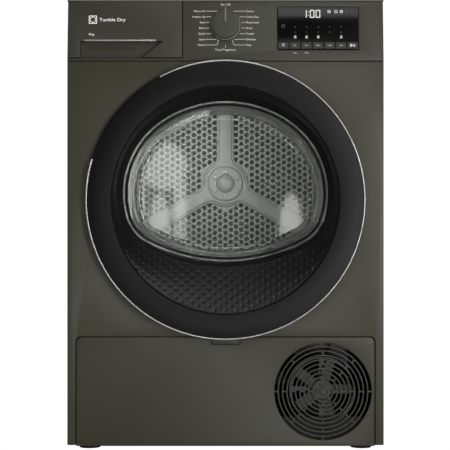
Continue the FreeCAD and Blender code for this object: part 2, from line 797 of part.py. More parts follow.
def make_fascia():
    """Moulded fascia right of the drawer, with a lip that runs on under the drawer."""
    x = (drawer_right + drawer_gap, half_width)
    z = (fascia_bottom, fascia_top)
    y = (front, front + fascia_depth / 2 - panel_clearance - seam)
    wall = plastic_wall
    shell = block("fascia_shell", x, y, z)
    hollow = block("fascia_hollow", (x[0] + wall, x[1] - wall), (y[0] + wall, y[1] + wall),
                   (z[0] + fascia_lip, z[1] - wall))
    lip = block("fascia_lip_bar", (-half_width, x[0]), y, (z[0], z[0] + fascia_lip))
    keys_span = key_pitch * KEY_COUNT - key_gap
    window = block("window_opening", (key_left(0) - seam, key_left(0) + keys_span + seam),
                   (y[0] - wall, y[1]),
                   (display_bottom + display_ledge, display_bottom + display_height - wall))
    rebate = block("window_rebate", (display_left, display_right), (y[0] - wall, y[0] + display_thickness),
                   (display_bottom, display_bottom + display_height))
    shaft_hole = rod_along_y("shaft_hole", knob_shaft + running_gap, 0.0, (y[0] - wall, y[1]), knob_height)
    blank = cut("fascia_blank", join("fascia_joined", shell, lip), hollow)
    node("control_fascia", cut("fascia_cut", blank, window, rebate, shaft_hole))


def make_display():
    """Glossy display window flush with the fascia, open over the row of keys."""
    y = (front, front + display_thickness)
    plate = block("display_plate", (display_left, display_right), y,
                  (display_bottom, display_bottom + display_height))
    keys_span = key_pitch * KEY_COUNT - key_gap
    opening = block("key_opening", (key_left(0) - seam, key_left(0) + keys_span + seam),
                    (y[0] - cut_margin, y[1] + cut_margin), (key_bottom - seam, key_top + seam))
    node("display_window", cut("display_cut", plate, opening))


def key_left(index):
    first = display_left + (display_width - key_pitch * KEY_COUNT + key_gap) / 2
    return first + key_pitch * index


def make_keys():
    """Seven push keys in a row along the foot of the display."""
    for index in range(KEY_COUNT):
        name = "key_%d" % (index + 1)
        left = key_left(index)
        y_face = front - key_stand
        cap = block(name + "_cap", (left, left + key_width), (y_face, y_face + key_length),
                    (key_bottom, key_top))
        node(name, cap)


def make_knob():
    """Programme knob with a bright foot ring, a raised pointer and its spindle."""
    y_face, y_foot = front - knob_length, front - seam
    ring_depth = knob_length / 3
    knob = turned_about_y("knob", 0.0, knob_height, [
        (y_face, 0.0), (y_face, knob_radius - knob_edge), (y_face + knob_edge, knob_radius),
        (y_foot, knob_radius), (y_foot, knob_shaft), (front + knob_length / 2, knob_shaft),
        (front + knob_length / 2, 0.0)])
    pointer = block("pointer", (-pointer_width / 2, pointer_width / 2),
                    (y_face - pointer_raise, y_face + knob_edge / 2),
                    (knob_height + pointer_start, knob_height + knob_radius - knob_edge))
    node("knob", join("knob_with_pointer", knob, pointer))
    node("knob_ring", turned_about_y("knob_ring", 0.0, knob_height, tube_profile(
        (y_foot - ring_depth, y_foot), (knob_radius, knob_ring_radius))))


# ---- condensate drawer -------------------------------------------------------------------------
def make_drawer():
    """Drawer front with a finger recess under a lip, its bright strip, and the water tank."""
    left, right = -half_width, drawer_right
    bottom = fascia_bottom + fascia_lip + drawer_gap
    owner = body("drawer_front")
    sketch = sketch_on(owner, "XZ", (0.0, 0.0, -front))
    outline(sketch, [(left, bottom), (right, bottom), (right, fascia_top), (left, fascia_top)])
    pad(owner, sketch, drawer_depth, backwards=True)
    recess = sketch_on(owner, "XZ", (0.0, 0.0, -front))
    recess_left = left + grip_left
    outline(recess, [
        (recess_left, bottom - cut_margin), (recess_left + grip_bottom_length, bottom - cut_margin),
        (recess_left + grip_top_length, bottom + grip_height), (recess_left, bottom + grip_height)])
    pocket(owner, recess, grip_depth)
    behind_lip = block("behind_lip", (recess_left + lip_side_gap, recess_left + grip_bottom_length),
                       (front + grip_lip, front + grip_depth),
                       (bottom + grip_height / 2, bottom + grip_height + grip_reach))
    node("drawer_front", cut("drawer_front_cut", owner, behind_lip))
    trim_left = recess_left + trim_inset
    trim_z = bottom + grip_height + trim_gap
    node("drawer_trim", block("drawer_trim_bar", (trim_left, trim_left + trim_length),
                              (front - trim_stand, front), (trim_z, trim_z + trim_height)))
    make_tank(left, right, bottom)


def make_tank(left, right, bottom):
    """Flat tank whose underside steps up over the drum; water runs in through its top."""
    y = (front + drawer_depth, front + drawer_depth + tank_length)
    top = height - top_thickness - tank_travel_gap
    low = bottom + tank_floor_gap
    x = (left + flange + tank_left_gap, right - tank_right_gap)
    clear = drum_radius + tank_drum_gap
    slope_left = -square_root(clear * clear - (low - drum_centre) * (low - drum_centre))
    slope_top = drum_centre + square_root(clear * clear - x[1] * x[1])
    section = [(x[0], low), (slope_left, low), (x[1], slope_top), (x[1], top), (x[0], top)]
    outer = body("tank_outer")
    sketch = sketch_on(outer, "XZ", (0.0, 0.0, -y[0]))
    outline(sketch, section)
    pad(outer, sketch, tank_length, backwards=True)
    wall = tank_wall
    inner = body("tank_inner")
    sketch = sketch_on(inner, "XZ", (0.0, 0.0, -(y[0] + wall)))
    outline(sketch, [
        (x[0] + wall, low + wall), (slope_left - wall / 2, low + wall),
        (x[1] - wall, slope_top + 2 * wall), (x[1] - wall, top - wall), (x[0] + wall, top - wall)])
    pad(inner, sketch, tank_length - 2 * wall, backwards=True)
    inlet = block("tank_inlet", (x[0] + inlet_inset, x[0] + inlet_inset + inlet_length),
                  (y[1] - inlet_inset - inlet_width, y[1] - inlet_inset), (top - 2 * wall, top + wall))
    node("water_tank", cut("water_tank_cut", outer, inner, inlet))


# ---- door --------------------------------------------------------------------------------------
striker_x = door_radius - striker_inset


def hinge_pocket(name, from_y):
    """The space the hinge needs behind the ring's face, open to the back and to the rim."""
    pocket_left = hinge_x - hinge_pocket_width
    return block(name, (pocket_left, door_radius + cut_reach), (from_y, front),
                 (door_centre - hinge_half_height, door_centre + hinge_half_height))


def grip_hollow(name, from_y, radii):
    """An arc-shaped hollow in the ring's rim at the upper left, where fingers pull the door."""
    pieces = []
    for suffix, radius in (("outer", radii[1]), ("inner", radii[0])):
        sector = document.addObject("Part::Cylinder", name + "_" + suffix)
        bind(sector, Radius=radius, Height=front - from_y, Angle=grip_sweep)
        pieces.append(sector)
    result = cut(name, *pieces)
    # the sector is drawn about Z from +X; it is stood up to face -Y, then turned to its place
    stand = FreeCAD.Rotation(FreeCAD.Vector(1, 0, 0), 90)
    spin = FreeCAD.Rotation(FreeCAD.Vector(0, 0, 1), grip_start.value)
    place(result, 0.0, front, door_centre, stand.multiply(spin))
    return result


def make_door_ring():
    """Broad flat ring of the door, with its outer wall, hinge pocket and grip."""
    back_edge = door_face + ring_rim_depth
    ring = turned_about_y("door_ring", 0.0, door_centre, [
        (door_face, ring_inner), (door_face, door_radius - trim_ring_width),
        (door_face + ring_skin, door_radius - trim_ring_width), (door_face + ring_skin, door_radius),
        (back_edge, door_radius), (back_edge, door_radius - ring_wall),
        (door_face + ring_skin, door_radius - ring_wall), (door_face + ring_skin, ring_inner)])
    skin_back = door_face + ring_skin
    grip = grip_hollow("ring_grip", skin_back, (grip_radius, door_radius + cut_reach))
    rim_cut = grip_hollow("ring_rim_cut", door_face - cut_margin,
                          (door_radius - grip_rim_cut, door_radius + cut_reach))
    node("door_ring", cut("door_ring_cut", ring, hinge_pocket("ring_pocket", skin_back), grip, rim_cut))
    trim = turned_about_y("door_trim", 0.0, door_centre, tube_profile(
        (door_face, door_face + ring_skin), (door_radius - trim_ring_width, door_radius)))
    trim_cut = grip_hollow("trim_cut", door_face - cut_margin, (grip_radius, door_radius + cut_reach))
    node("door_trim", cut("door_trim_cut", trim, trim_cut))


def make_door_rear():
    """Back shell of the door with its ring seal and the striker that the catch holds."""
    back_face = front - door_back_gap
    front_face = back_face - rear_shell_depth
    inner, outer = ring_inner + rear_shell_gap, door_radius - ring_wall - seam
    seal = (inner + seal_inset, inner + seal_inset + seal_width)
    groove = seal_groove
    profile = [
        (door_face + ring_skin, inner), (back_face, inner), (back_face, seal[0]),
        (back_face - groove, seal[0]), (back_face - groove, seal[1]), (back_face, seal[1]),
        (back_face, outer), (front_face, outer), (front_face, inner + plastic_wall),
        (door_face + ring_skin, inner + plastic_wall)]
    shell = turned_about_y("door_rear_shell", 0.0, door_centre, profile)
    grip = grip_hollow("shell_grip", door_face, (grip_radius, door_radius + cut_reach))
    node("door_rear_shell", cut("door_rear_shell_cut", shell,
                                hinge_pocket("shell_pocket", door_face), grip))
    node("door_seal", turned_about_y("door_seal", 0.0, door_centre, tube_profile(
        (back_face - groove, front - touch_gap), (seal[0], seal[1]))))
    x, z = -striker_x, door_centre
    half = striker_width / 2
    stem = block("striker_stem", (x - half / 2, x + half / 2), (back_face, front + striker_reach),
                 (z - striker_height / 2, z + striker_height / 2))
    hook = block("striker_hook", (x - half, x + half / 2),
                 (front + striker_hook_start, front + striker_reach),
                 (z - striker_height / 2, z + striker_height / 2))
    node("door_striker", join("striker_joined", stem, hook))


def make_door_cone():
    """Dark dished insert between the ring and the glass."""
    y0, y1 = door_face + cone_setback, door_face + cone_depth
    inner, taper, wall = ring_inner, cone_taper, plastic_wall
    dish = turned_about_y("door_cone", 0.0, door_centre, [
        (y0, inner - wall), (y0, inner), (y1 + wall, inner - taper), (y1 + wall, 0.0), (y1, 0.0),
        (y1, inner - taper - wall)])
    opening = body("cone_opening")
    sketch = sketch_on(opening, "XZ", (0.0, 0.0, -(y1 - wall)))
    port_outline(sketch, -glass_wall)
    pad(opening, sketch, 3 * wall, backwards=True)
    node("door_cone", cut("door_cone_cut", dish, opening))


def make_door_glass():
    """Glass bowl: a flange on the back of the insert and a tapered bowl reaching into the drum."""
    def lofted(name, y, grows):
        owner = body(name)
        sections = []
        for plane_y, grow in zip(y, grows):
            sketch = sketch_on(owner, "XZ", (0.0, 0.0, -plane_y))
            port_outline(sketch, grow)
            sections.append(sketch)
        loft = owner.newObject("PartDesign::AdditiveLoft", name + "_loft")
        loft.Profile = sections[0]
        loft.Sections = sections[1:]
        loft.Ruled = True
        return owner
    rim, bottom = glass_rim, glass_rim + bowl_depth
    outer = lofted("bowl_outer", (rim, bottom), (0.0, -bowl_shrink))
    inner = lofted("bowl_inner", (rim - cut_margin, bottom - glass_wall),
                   (-glass_wall, -glass_wall - bowl_shrink))
    flange_body = body("glass_flange")
    sketch = sketch_on(flange_body, "XZ", (0.0, 0.0, -rim))
    port_outline(sketch, glass_flange_width)
    pad(flange_body, sketch, glass_flange, backwards=True)
    node("door_glass", cut("door_glass_cut", join("bowl_joined", outer, flange_body), inner))


def make_hinge():
    """Pin hinge at the right: bracket on the cabinet, leaf in the door, pin through both."""
    half = knuckle_half
    arm_low = half + seam
    arm_high = arm_low + hinge_arm_height
    neck = (hinge_x - neck_inner, hinge_x - neck_outer)
    pieces = []
    for index, side in enumerate((-1.0, 1.0)):
        ends = [door_centre + arm_low * side, door_centre + arm_high * side]
        z = (ends[0], ends[1]) if side > 0 else (ends[1], ends[0])
        pieces.append(rod_along_z("bracket_knuckle_%d" % index, knuckle_radius, hinge_x, hinge_y, z))
        arm_y = (hinge_y - hinge_arm_half, hinge_y + hinge_arm_half)
        pieces.append(block("bracket_arm_%d" % index, (neck[0], hinge_x), arm_y, z))
        pieces.append(block("bracket_neck_%d" % index, neck, (arm_y[0], front), z))
    pieces.append(block("bracket_foot", neck, (front - hinge_arm_half, front),
                        (door_centre - arm_high, door_centre + arm_high)))
    bore = rod_along_z("bracket_bore", pin_radius, hinge_x, hinge_y,
                       (door_centre - 2 * arm_high, door_centre + 2 * arm_high))
    node("door_hinge_bracket", cut("hinge_bracket_cut", join("bracket_joined", *pieces), bore))
    node("hinge_pin", rod_along_z("hinge_pin_rod", pin_radius, hinge_x, hinge_y,
                                  (door_centre - arm_high - pin_overhang,
                                   door_centre + arm_high + pin_overhang)))
    skin_back = door_face + ring_skin
    plate = block("leaf_plate", (ring_inner + leaf_inset, hinge_x - leaf_knuckle_gap),
                  (skin_back, skin_back + leaf_thickness),
                  (door_centre - hinge_half_height + leaf_end_gap,
                   door_centre + hinge_half_height - leaf_end_gap))
    web = block("leaf_web", (hinge_x - leaf_web_width, hinge_x), (skin_back, hinge_y),
                (door_centre - half, door_centre + half))
    knuckle = rod_along_z("leaf_knuckle", knuckle_radius, hinge_x, hinge_y,
                          (door_centre - half, door_centre + half))
    leaf_bore = rod_along_z("leaf_bore", pin_radius + running_gap, hinge_x, hinge_y,
                            (door_centre - 2 * half, door_centre + 2 * half))
    node("door_hinge_leaf", cut("hinge_leaf_cut", join("leaf_joined", plate, web, knuckle), leaf_bore))


def make_catch():
    """Sprung catch behind the front panel that holds the door's striker."""
    catch_left = -striker_x + striker_width / 4 + touch_gap
    x = (catch_left, catch_left + catch_width)
    node("door_catch", block("door_catch_block", x, (front + sheet_steel + seam, front + catch_reach),
                             (door_centre - striker_height / 2, door_centre + striker_height / 2)))


# ---- bulkhead and drum -------------------------------------------------------------------------
def port_prism(name, grow, y):
    owner = body(name)
    sketch = sketch_on(owner, "XZ", (0.0, 0.0, -y[0]))
    port_outline(sketch, grow)
    pad(owner, sketch, y[1] - y[0], backwards=True)
    return owner


def make_bulkhead():
    """Front bulkhead: plate with the D-shaped throat, the round seat of the drum's felt seal,
    the slot of the lint filter and the two axles of the drum rollers."""
    plate_y = (bulkhead_front, bulkhead_front + bulkhead_plate)
    side = half_width - flange - panel_clearance
    low, high = flap_top + bulkhead_foot_gap, fascia_bottom - bulkhead_head_gap
    plate = block("bulkhead_sheet", (-side, side), plate_y, (low, high))
    seat_radius = drum_radius - felt_inset
    seat = rod_along_y("felt_seat", seat_radius, 0.0, (plate_y[1], bulkhead_back), drum_centre)
    seat_hollow = rod_along_y("felt_seat_hollow", seat_radius - bulkhead_wall, 0.0,
                              (plate_y[1], bulkhead_back - bulkhead_wall), drum_centre)
    throat = port_prism("throat", mouth_clearance + bulkhead_wall, (plate_y[0], bulkhead_back))
    opening = port_prism("throat_opening", mouth_clearance,
                         (plate_y[0] - cut_reach, bulkhead_back + cut_reach))
    filter_y = filter_span()
    floor_z = glass_bottom - mouth_clearance
    slot = block("filter_slot", (-filter_width / 2 - filter_side_gap, filter_width / 2 + filter_side_gap),
                 (filter_y[0] - filter_end_gap, filter_y[1] + filter_end_gap),
                 (floor_z - filter_slot_below, floor_z + filter_slot_above))
    shell = cut("bulkhead_shell", join("bulkhead_front_joined", plate, seat), seat_hollow)
    axles = []
    for name, x, z in roller_places():
        axles.append(rod_along_y(name + "_axle", roller_axle, x, (plate_y[1], drum_front + axle_end), z))
    solid = join("bulkhead_joined", shell, throat, *axles)
    node("front_bulkhead", cut("bulkhead_cut", solid, opening, slot))
    node("felt_seal", turned_about_y("felt_seal", 0.0, drum_centre, tube_profile(
        (bulkhead_back, bulkhead_back + felt_thickness),
        (drum_radius - drum_lip + felt_lip_gap, seat_radius))))


def filter_span():
    start = bulkhead_front + bulkhead_plate + filter_setback
    return (start, start + filter_depth)


def make_filter():
    """Lint filter: a flat cassette that drops into the throat's floor, with a finger bar."""
    top = glass_bottom - mouth_clearance
    y = filter_span()
    x = (-filter_width / 2, filter_width / 2)
    case = block("filter_case", x, y, (top - filter_height, top))
    mesh_hollow = block("filter_hollow", (x[0] + filter_frame, x[1] - filter_frame),
                        (y[0] + filter_face, y[1] - filter_face),
                        (top - filter_height + filter_frame, top + cut_margin))
    bar_y = (y[0] + filter_bar_inset, y[1] - filter_bar_inset)
    bar = block("filter_bar", (-filter_bar_half, filter_bar_half), bar_y,
                (top - filter_bar_low, top - filter_bar_high))
    ties = block("filter_tie", x, bar_y, (top - filter_tie_low, top - filter_tie_high))
    node("lint_filter", join("filter_joined", cut("filter_shell", case, mesh_hollow), bar, ties))


def make_drum_shell():
    """Drum: a rolled sheet with a folded front lip and a shoulder that holds the back plate."""
    y0, y1, wall = drum_front, drum_back, drum_wall
    lip, edge = drum_radius - drum_lip, drum_radius
    node("drum_shell", turned_about_y("drum_shell", 0.0, drum_centre, [
        (y0, lip), (y0, edge), (y1, edge), (y1, edge - drum_shoulder), (y1 - wall, edge - drum_shoulder),
        (y1 - wall, edge - wall), (y0 + wall, edge - wall), (y0 + wall, lip)]))


plate_front = drum_back - plate_setback
plate_back = plate_front + plate_thickness


def make_back_plate():
    """Drum back: a sheet with rows of round air holes between the arms and the rim."""
    pitch, radius = hole_pitch.value, hole_radius.value
    outer = (drum_radius - drum_wall - drum_sheet_gap).value
    first_ring, last_ring = hub_radius.value + 3 * radius, outer - hole_rim_margin.value
    clear_of_arm = (arm_width / 2 + hole_arm_margin).value + radius
    thickness = (plate_back - plate_front).value
    along_y = FreeCAD.Vector(0, 1, 0)
    centre = FreeCAD.Vector(0, plate_front.value, drum_centre.value)
    wires = [Part.Wire(Part.makeCircle(outer, centre, along_y)),
             Part.Wire(Part.makeCircle((shaft_radius + shaft_hole_gap).value, centre, along_y))]
    rows = int(last_ring / (pitch * math.sqrt(0.75))) + 1
    for row in range(-rows, rows + 1):
        x = row * pitch * math.sqrt(0.75)
        shift = pitch / 2 if row % 2 else 0.0
        for column in range(-rows, rows + 1):
            z = column * pitch + shift
            distance = math.hypot(x, z)
            if not first_ring < distance < last_ring:
                continue
            if any(arm_distance(x, z, angle) < clear_of_arm for angle in ARM_ANGLES):
                continue
            hole = Part.makeCircle(radius, centre + FreeCAD.Vector(x, 0, z), along_y)
            wires.append(Part.Wire(hole))
    face = Part.Face(wires, "Part::FaceMakerBullseye")
    plate = document.addObject("Part::Feature", "drum_back_plate_sheet")
    plate.Shape = face.extrude(FreeCAD.Vector(0, thickness, 0))
    node("drum_back_plate", plate)


ARM_ANGLES = (90.0, 210.0, 330.0)
LIFTER_ANGLES = (30.0, 150.0, 270.0)


def arm_distance(x, z, degrees):
    """How far a point is from an arm's centre line; points behind the hub are far."""
    turn = math.radians(degrees)
    along = x * math.cos(turn) + z * math.sin(turn)
    aside = abs(x * math.sin(turn) - z * math.cos(turn))
    return aside if along > 0 else math.hypot(x, z)


def spun(thing, degrees):
    """Turn a solid drawn about the Y axis through the origin and lift it to the drum's axis."""
    turn = FreeCAD.Rotation(FreeCAD.Vector(0, 1, 0), -degrees)
    place(thing, 0.0, 0.0, drum_centre, turn)
    return thing


def make_lifters():
    """Three lifters along the drum wall: wedge-shaped ridges that fit the wall's curve."""
    lifters = []
    inside = drum_radius - drum_wall - drum_sheet_gap
    y0 = drum_back - lifter_setback - lifter_length
    for index, angle in enumerate(LIFTER_ANGLES):
        ridge = body("lifter_%d" % index)
        sketch = sketch_on(ridge, "XZ", (0.0, 0.0, -y0))
        outline(sketch, [
            (inside + cut_reach, -lifter_foot / 2), (inside + cut_reach, lifter_foot / 2),
            (inside - lifter_height, lifter_top / 2), (inside - lifter_height, -lifter_top / 2)])
        pad(ridge, sketch, lifter_length, backwards=True)
        wall = rod_along_y("lifter_wall_%d" % index, inside, 0.0,
                           (y0 - cut_margin, y0 + lifter_length + cut_margin), 0.0)
        fitted = document.addObject("Part::Common", "lifter_fitted_%d" % index)
        fitted.Base = ridge
        fitted.Tool = wall
        lifters.append(spun(fitted, angle))
    node("drum_lifters", group("lifter_group", *lifters))


def make_hub():
    """Three-armed hub in front of the back plate, with its shaft and six screws."""
    disc_solid = turned_about_y("hub", 0.0, drum_centre, [
        (plate_front - hub_depth, 0.0), (plate_front - hub_depth, hub_radius - hub_edge_width),
        (plate_front - hub_depth + hub_edge_depth, hub_radius), (plate_front, hub_radius),
        (plate_front, shaft_radius), (drum_back + shaft_end, shaft_radius), (drum_back + shaft_end, 0.0)])
    arms = []
    for index, angle in enumerate(ARM_ANGLES):
        arm = block("hub_arm_%d" % index, (0.0, arm_reach), (plate_front - arm_depth, plate_front),
                    (-arm_width / 2, arm_width / 2))
        holder = group("hub_arm_turn_%d" % index, arm)
        arms.append(spun(holder, angle))
    node("drum_hub", join("hub_joined", disc_solid, *arms))
    face = plate_front - hub_depth
    screws = []
    for index in range(HUB_SCREWS):
        angle = 360.0 / HUB_SCREWS * (index + 0.5)
        x, z = screw_circle * cosine(angle), drum_centre + screw_circle * sine(angle)
        screws.append(rod_along_y("hub_screw_%d" % index, screw_radius, x, (face - screw_head, face), z))
    node("hub_screws", group("hub_screw_group", *screws))


def make_bearing():
    """Beam across the rear panel with the bush that the drum's shaft turns in."""
    y0, y1 = drum_back + bearing_setback, back - sheet_steel
    beam = block("bearing_beam", (-bearing_half_length, bearing_half_length),
                 (y1 - bearing_thickness, y1),
                 (drum_centre - bearing_half_height, drum_centre + bearing_half_height))
    boss = rod_along_y("bearing_boss", bearing_boss_radius, 0.0, (y0, y1), drum_centre)
    bore = rod_along_y("bearing_bore", shaft_radius + running_gap, 0.0,
                       (y0 - cut_reach, y1 + cut_reach), drum_centre)
    node("rear_bearing_bracket", cut("bearing_cut", join("bearing_joined", beam, boss), bore))


def roller_places():
    distance = drum_radius + touch_gap + roller_radius
    z = drum_centre - distance * cosine(roller_angle)
    x = distance * sine(roller_angle)
    return [("roller_left", -x, z), ("roller_right", x, z)]


def make_rollers():
    """Two rollers on the bulkhead's axles carry the drum's front end."""
    y0 = drum_front + roller_setback
    for name, x, z in roller_places():
        node(name, turned_about_y(name, x, z, tube_profile(
            (y0, y0 + roller_width), (roller_axle + running_gap, roller_radius))))


# ---- drive and heat pump -----------------------------------------------------------------------
belt_middle = motor_front - belt_setback
belt_y = (belt_middle - belt_width / 2, belt_middle + belt_width / 2)
blower_front = motor_front + motor_length + blower_gap


def loop_face(centres, radii, y):
    """The face inside a belt line drawn round two circles."""
    (x0, z0), (x1, z1) = centres
    gap = math.hypot(x1 - x0, z1 - z0)
    heading = math.atan2(z1 - z0, x1 - x0)
    spread = math.acos((radii[0] - radii[1]) / gap)

    def on(index, angle):
        (x, z), radius = centres[index], radii[index]
        return FreeCAD.Vector(x + radius * math.cos(angle), y, z + radius * math.sin(angle))
    upper, lower = heading + spread, heading - spread
    edges = [
        Part.Arc(on(0, upper), on(0, heading + math.pi), on(0, lower)).toShape(),
        Part.makeLine(on(0, lower), on(1, lower)),
        Part.Arc(on(1, lower), on(1, heading), on(1, upper)).toShape(),
        Part.makeLine(on(1, upper), on(0, upper))]
    return Part.Face(Part.Wire(edges))


def make_belt():
    """Flat belt round the drum and the motor's pulley."""
    centres = [(0.0, drum_centre.value), (motor_x.value, motor_z.value)]
    inner = [(drum_radius + touch_gap).value, (pulley_radius + touch_gap).value]
    outer = [radius + belt_thickness.value for radius in inner]
    along = FreeCAD.Vector(0, belt_width.value, 0)
    y = belt_y[0].value
    band = loop_face(centres, outer, y).extrude(along).cut(loop_face(centres, inner, y).extrude(along))
    belt = document.addObject("Part::Feature", "drive_belt_band")
    belt.Shape = band
    node("drive_belt", belt)


def make_motor():
    """Motor on its foot, and the rotor with the belt pulley and the blower wheel."""
    y0, y1 = motor_front, motor_front + motor_length
    can = rod_along_y("motor_can", motor_radius, motor_x, (y0, y1), motor_z)
    foot = block("motor_foot", (motor_x - motor_foot_half, motor_x + motor_foot_half),
                 (y0 + motor_foot_inset, y1 - motor_foot_inset),
                 (tray_bottom + plastic_wall, motor_z))
    bore = rod_along_y("motor_bore", motor_shaft + running_gap, motor_x,
                       (y0 - cut_reach, y1 + cut_reach), motor_z)
    node("motor_housing", cut("motor_cut", join("motor_joined", can, foot), bore))
    wheel_front = blower_front + wheel_front_gap
    wheel_back = blower_front + blower_length - wheel_back_gap
    flange_radius = pulley_radius + pulley_rim
    pulley_y = (belt_y[0] - pulley_side, belt_y[1] + pulley_side)
    pulley_ends = (belt_y[0] - pulley_flange, belt_y[1] + pulley_flange)
    hub, rim = motor_shaft + wheel_hub_width, blower_wheel
    node("motor_rotor", turned_about_y("motor_rotor", motor_x, motor_z, [
        (pulley_ends[0], 0.0), (pulley_ends[0], flange_radius), (pulley_y[0], flange_radius),
        (pulley_y[0], pulley_radius), (pulley_y[1], pulley_radius),
        (pulley_y[1], flange_radius), (pulley_ends[1], flange_radius),
        (pulley_ends[1], motor_shaft), (wheel_back - wheel_hub_length, motor_shaft),
        (wheel_back - wheel_hub_length, hub), (wheel_back - wheel_wall, hub),
        (wheel_back - wheel_wall, rim - wheel_wall), (wheel_front, rim - wheel_wall),
        (wheel_front, rim), (wheel_back, rim), (wheel_back, 0.0)]))


def make_blower():
    """Round blower housing round the wheel, open to the coils at its front."""
    y = (blower_front, blower_front + blower_length)
    wall = bulkhead_wall
    node("fan_housing", turned_about_y("fan_housing", motor_x, motor_z, [
        (y[0], blower_inlet_radius), (y[0], blower_radius), (y[1], blower_radius),
        (y[1], blower_outlet_radius), (y[1] - wall, blower_outlet_radius),
        (y[1] - wall, blower_radius - wall), (y[0] + wall, blower_radius - wall),
        (y[0] + wall, blower_inlet_radius)]))


def make_heat_pump():
    """Compressor on the right, two finned coils on the left and the cover in front of them."""
    z0 = tray_bottom + plastic_wall
    top = z0 + compressor_height
    r = compressor_radius
    node("compressor", turned_about_z("compressor", grille_x, compressor_y, [
        (0.0, z0), (r + compressor_rim, z0), (r + compressor_rim, z0 + compressor_rim_height),
        (r, z0 + compressor_rim_slope), (r, top - dome_shoulder), (r - dome_step, top - dome_edge),
        (r - dome_flat_inset, top), (0.0, top)]))
    coils = []
    left, right = exchanger_left, exchanger_left + exchanger_width
    y_first = tray_inside + exchanger_setback
    for index in range(COILS):
        y0 = y_first + (exchanger_length + exchanger_gap) * index
        coil = body("coil_%d" % index)
        sketch = sketch_on(coil, "XY", (0.0, 0.0, z0))
        outline(sketch, [(left, y0), (right, y0), (right, y0 + exchanger_length),
                         (left, y0 + exchanger_length)])
        pad(coil, sketch, exchanger_height)
        slot = sketch_on(coil, "XY", (0.0, 0.0, z0 + exchanger_height))
        slot_left = left + (fin_pitch - fin_slot)
        outline(slot, [(slot_left, y0 - cut_margin), (slot_left + fin_slot, y0 - cut_margin),
                       (slot_left + fin_slot, y0 + exchanger_length + cut_margin),
                       (slot_left, y0 + exchanger_length + cut_margin)])
        groove = pocket(coil, slot, fin_height)
        pattern = coil.newObject("PartDesign::LinearPattern", "fins_%d" % index)
        pattern.Originals = [groove]
        pattern.Direction = (slot, ["H_Axis"])
        count = int((exchanger_width / fin_pitch).value) - 1
        pattern.Occurrences = count
        bind(pattern, Length=fin_pitch * (count - 1))
        coil.Tip = pattern
        coils.append(coil)
    node("heat_exchangers", group("coil_group", *coils))
    cover_y = tray_inside + cover_setback
    cover = block("evaporator_lid", (left - cover_margin, right + cover_margin),
                  (cover_y, cover_y + plastic_wall), (z0, z0 + exchanger_height + cover_margin))
    rib = block("evaporator_rib", (left + cover_rib_inset, right - cover_rib_inset),
                (cover_y - cover_rib_depth, cover_y + plastic_wall / 3),
                (z0 + exchanger_height - cover_rib_low, z0 + exchanger_height - cover_rib_high))
    node("evaporator_cover", join("evaporator_cover_joined", cover, rib))


def make_cooling_fan():
    """Small fan behind the grille that cools the compressor, in its shroud."""
    y = (tray_inside + fan_front_gap, tray_inside + fan_back_gap)
    z = grille_z
    wall = bulkhead_wall
    inner = fan_radius + fan_tip_gap
    ring = turned_about_y("fan_shroud", grille_x, z, tube_profile(y, (inner, inner + wall)))
    spokes = []
    reach = inner + wall / 2
    for index, (x_half, z_half) in enumerate(((reach, fan_spoke_half), (fan_spoke_half, reach))):
        spokes.append(block("fan_spoke_%d" % index, (grille_x - x_half, grille_x + x_half),
                            (y[1] - wall, y[1]), (z - z_half, z + z_half)))
    legs = block("fan_leg", (grille_x - fan_leg_half, grille_x + fan_leg_half), y,
                 (tray_bottom + plastic_wall, z - inner))
    bore = rod_along_y("fan_bore", fan_shaft + running_gap, grille_x, (y[1] - cut_reach, y[1] + cut_reach), z)
    node("fan_shroud", cut("fan_shroud_cut", join("fan_shroud_joined", ring, *spokes, legs), bore))
    hub_y = (y[0] + fan_hub_gap, y[1] - wall - fan_hub_gap)
    hub = turned_about_y("fan_hub", grille_x, z, [
        (hub_y[0], 0.0), (hub_y[0], fan_hub), (hub_y[1], fan_hub), (hub_y[1], fan_shaft),
        (y[1] + fan_hub_gap, fan_shaft), (y[1] + fan_hub_gap, 0.0)])
    blades = []
    for index in range(FAN_BLADES):
        blade = block("fan_blade_%d" % index, (fan_hub - blade_root, fan_radius),
                      (-blade_half_thickness, blade_half_thickness), (-blade_half_width, blade_half_width))
        tilt = FreeCAD.Rotation(FreeCAD.Vector(1, 0, 0), blade_tilt.value)
        pitched = group("fan_blade_tilt_%d" % index, blade)
        pitched.Placement = FreeCAD.Placement(FreeCAD.Vector(), tilt)
        holder = group("fan_blade_turn_%d" % index, pitched)
        turn = FreeCAD.Rotation(FreeCAD.Vector(0, 1, 0), 360.0 / FAN_BLADES * index)
        place(holder, grille_x, (y[0] + y[1] - wall) / 2, z, turn)
        blades.append(holder)
    node("cooling_fan", join("cooling_fan_joined", hub, *blades))


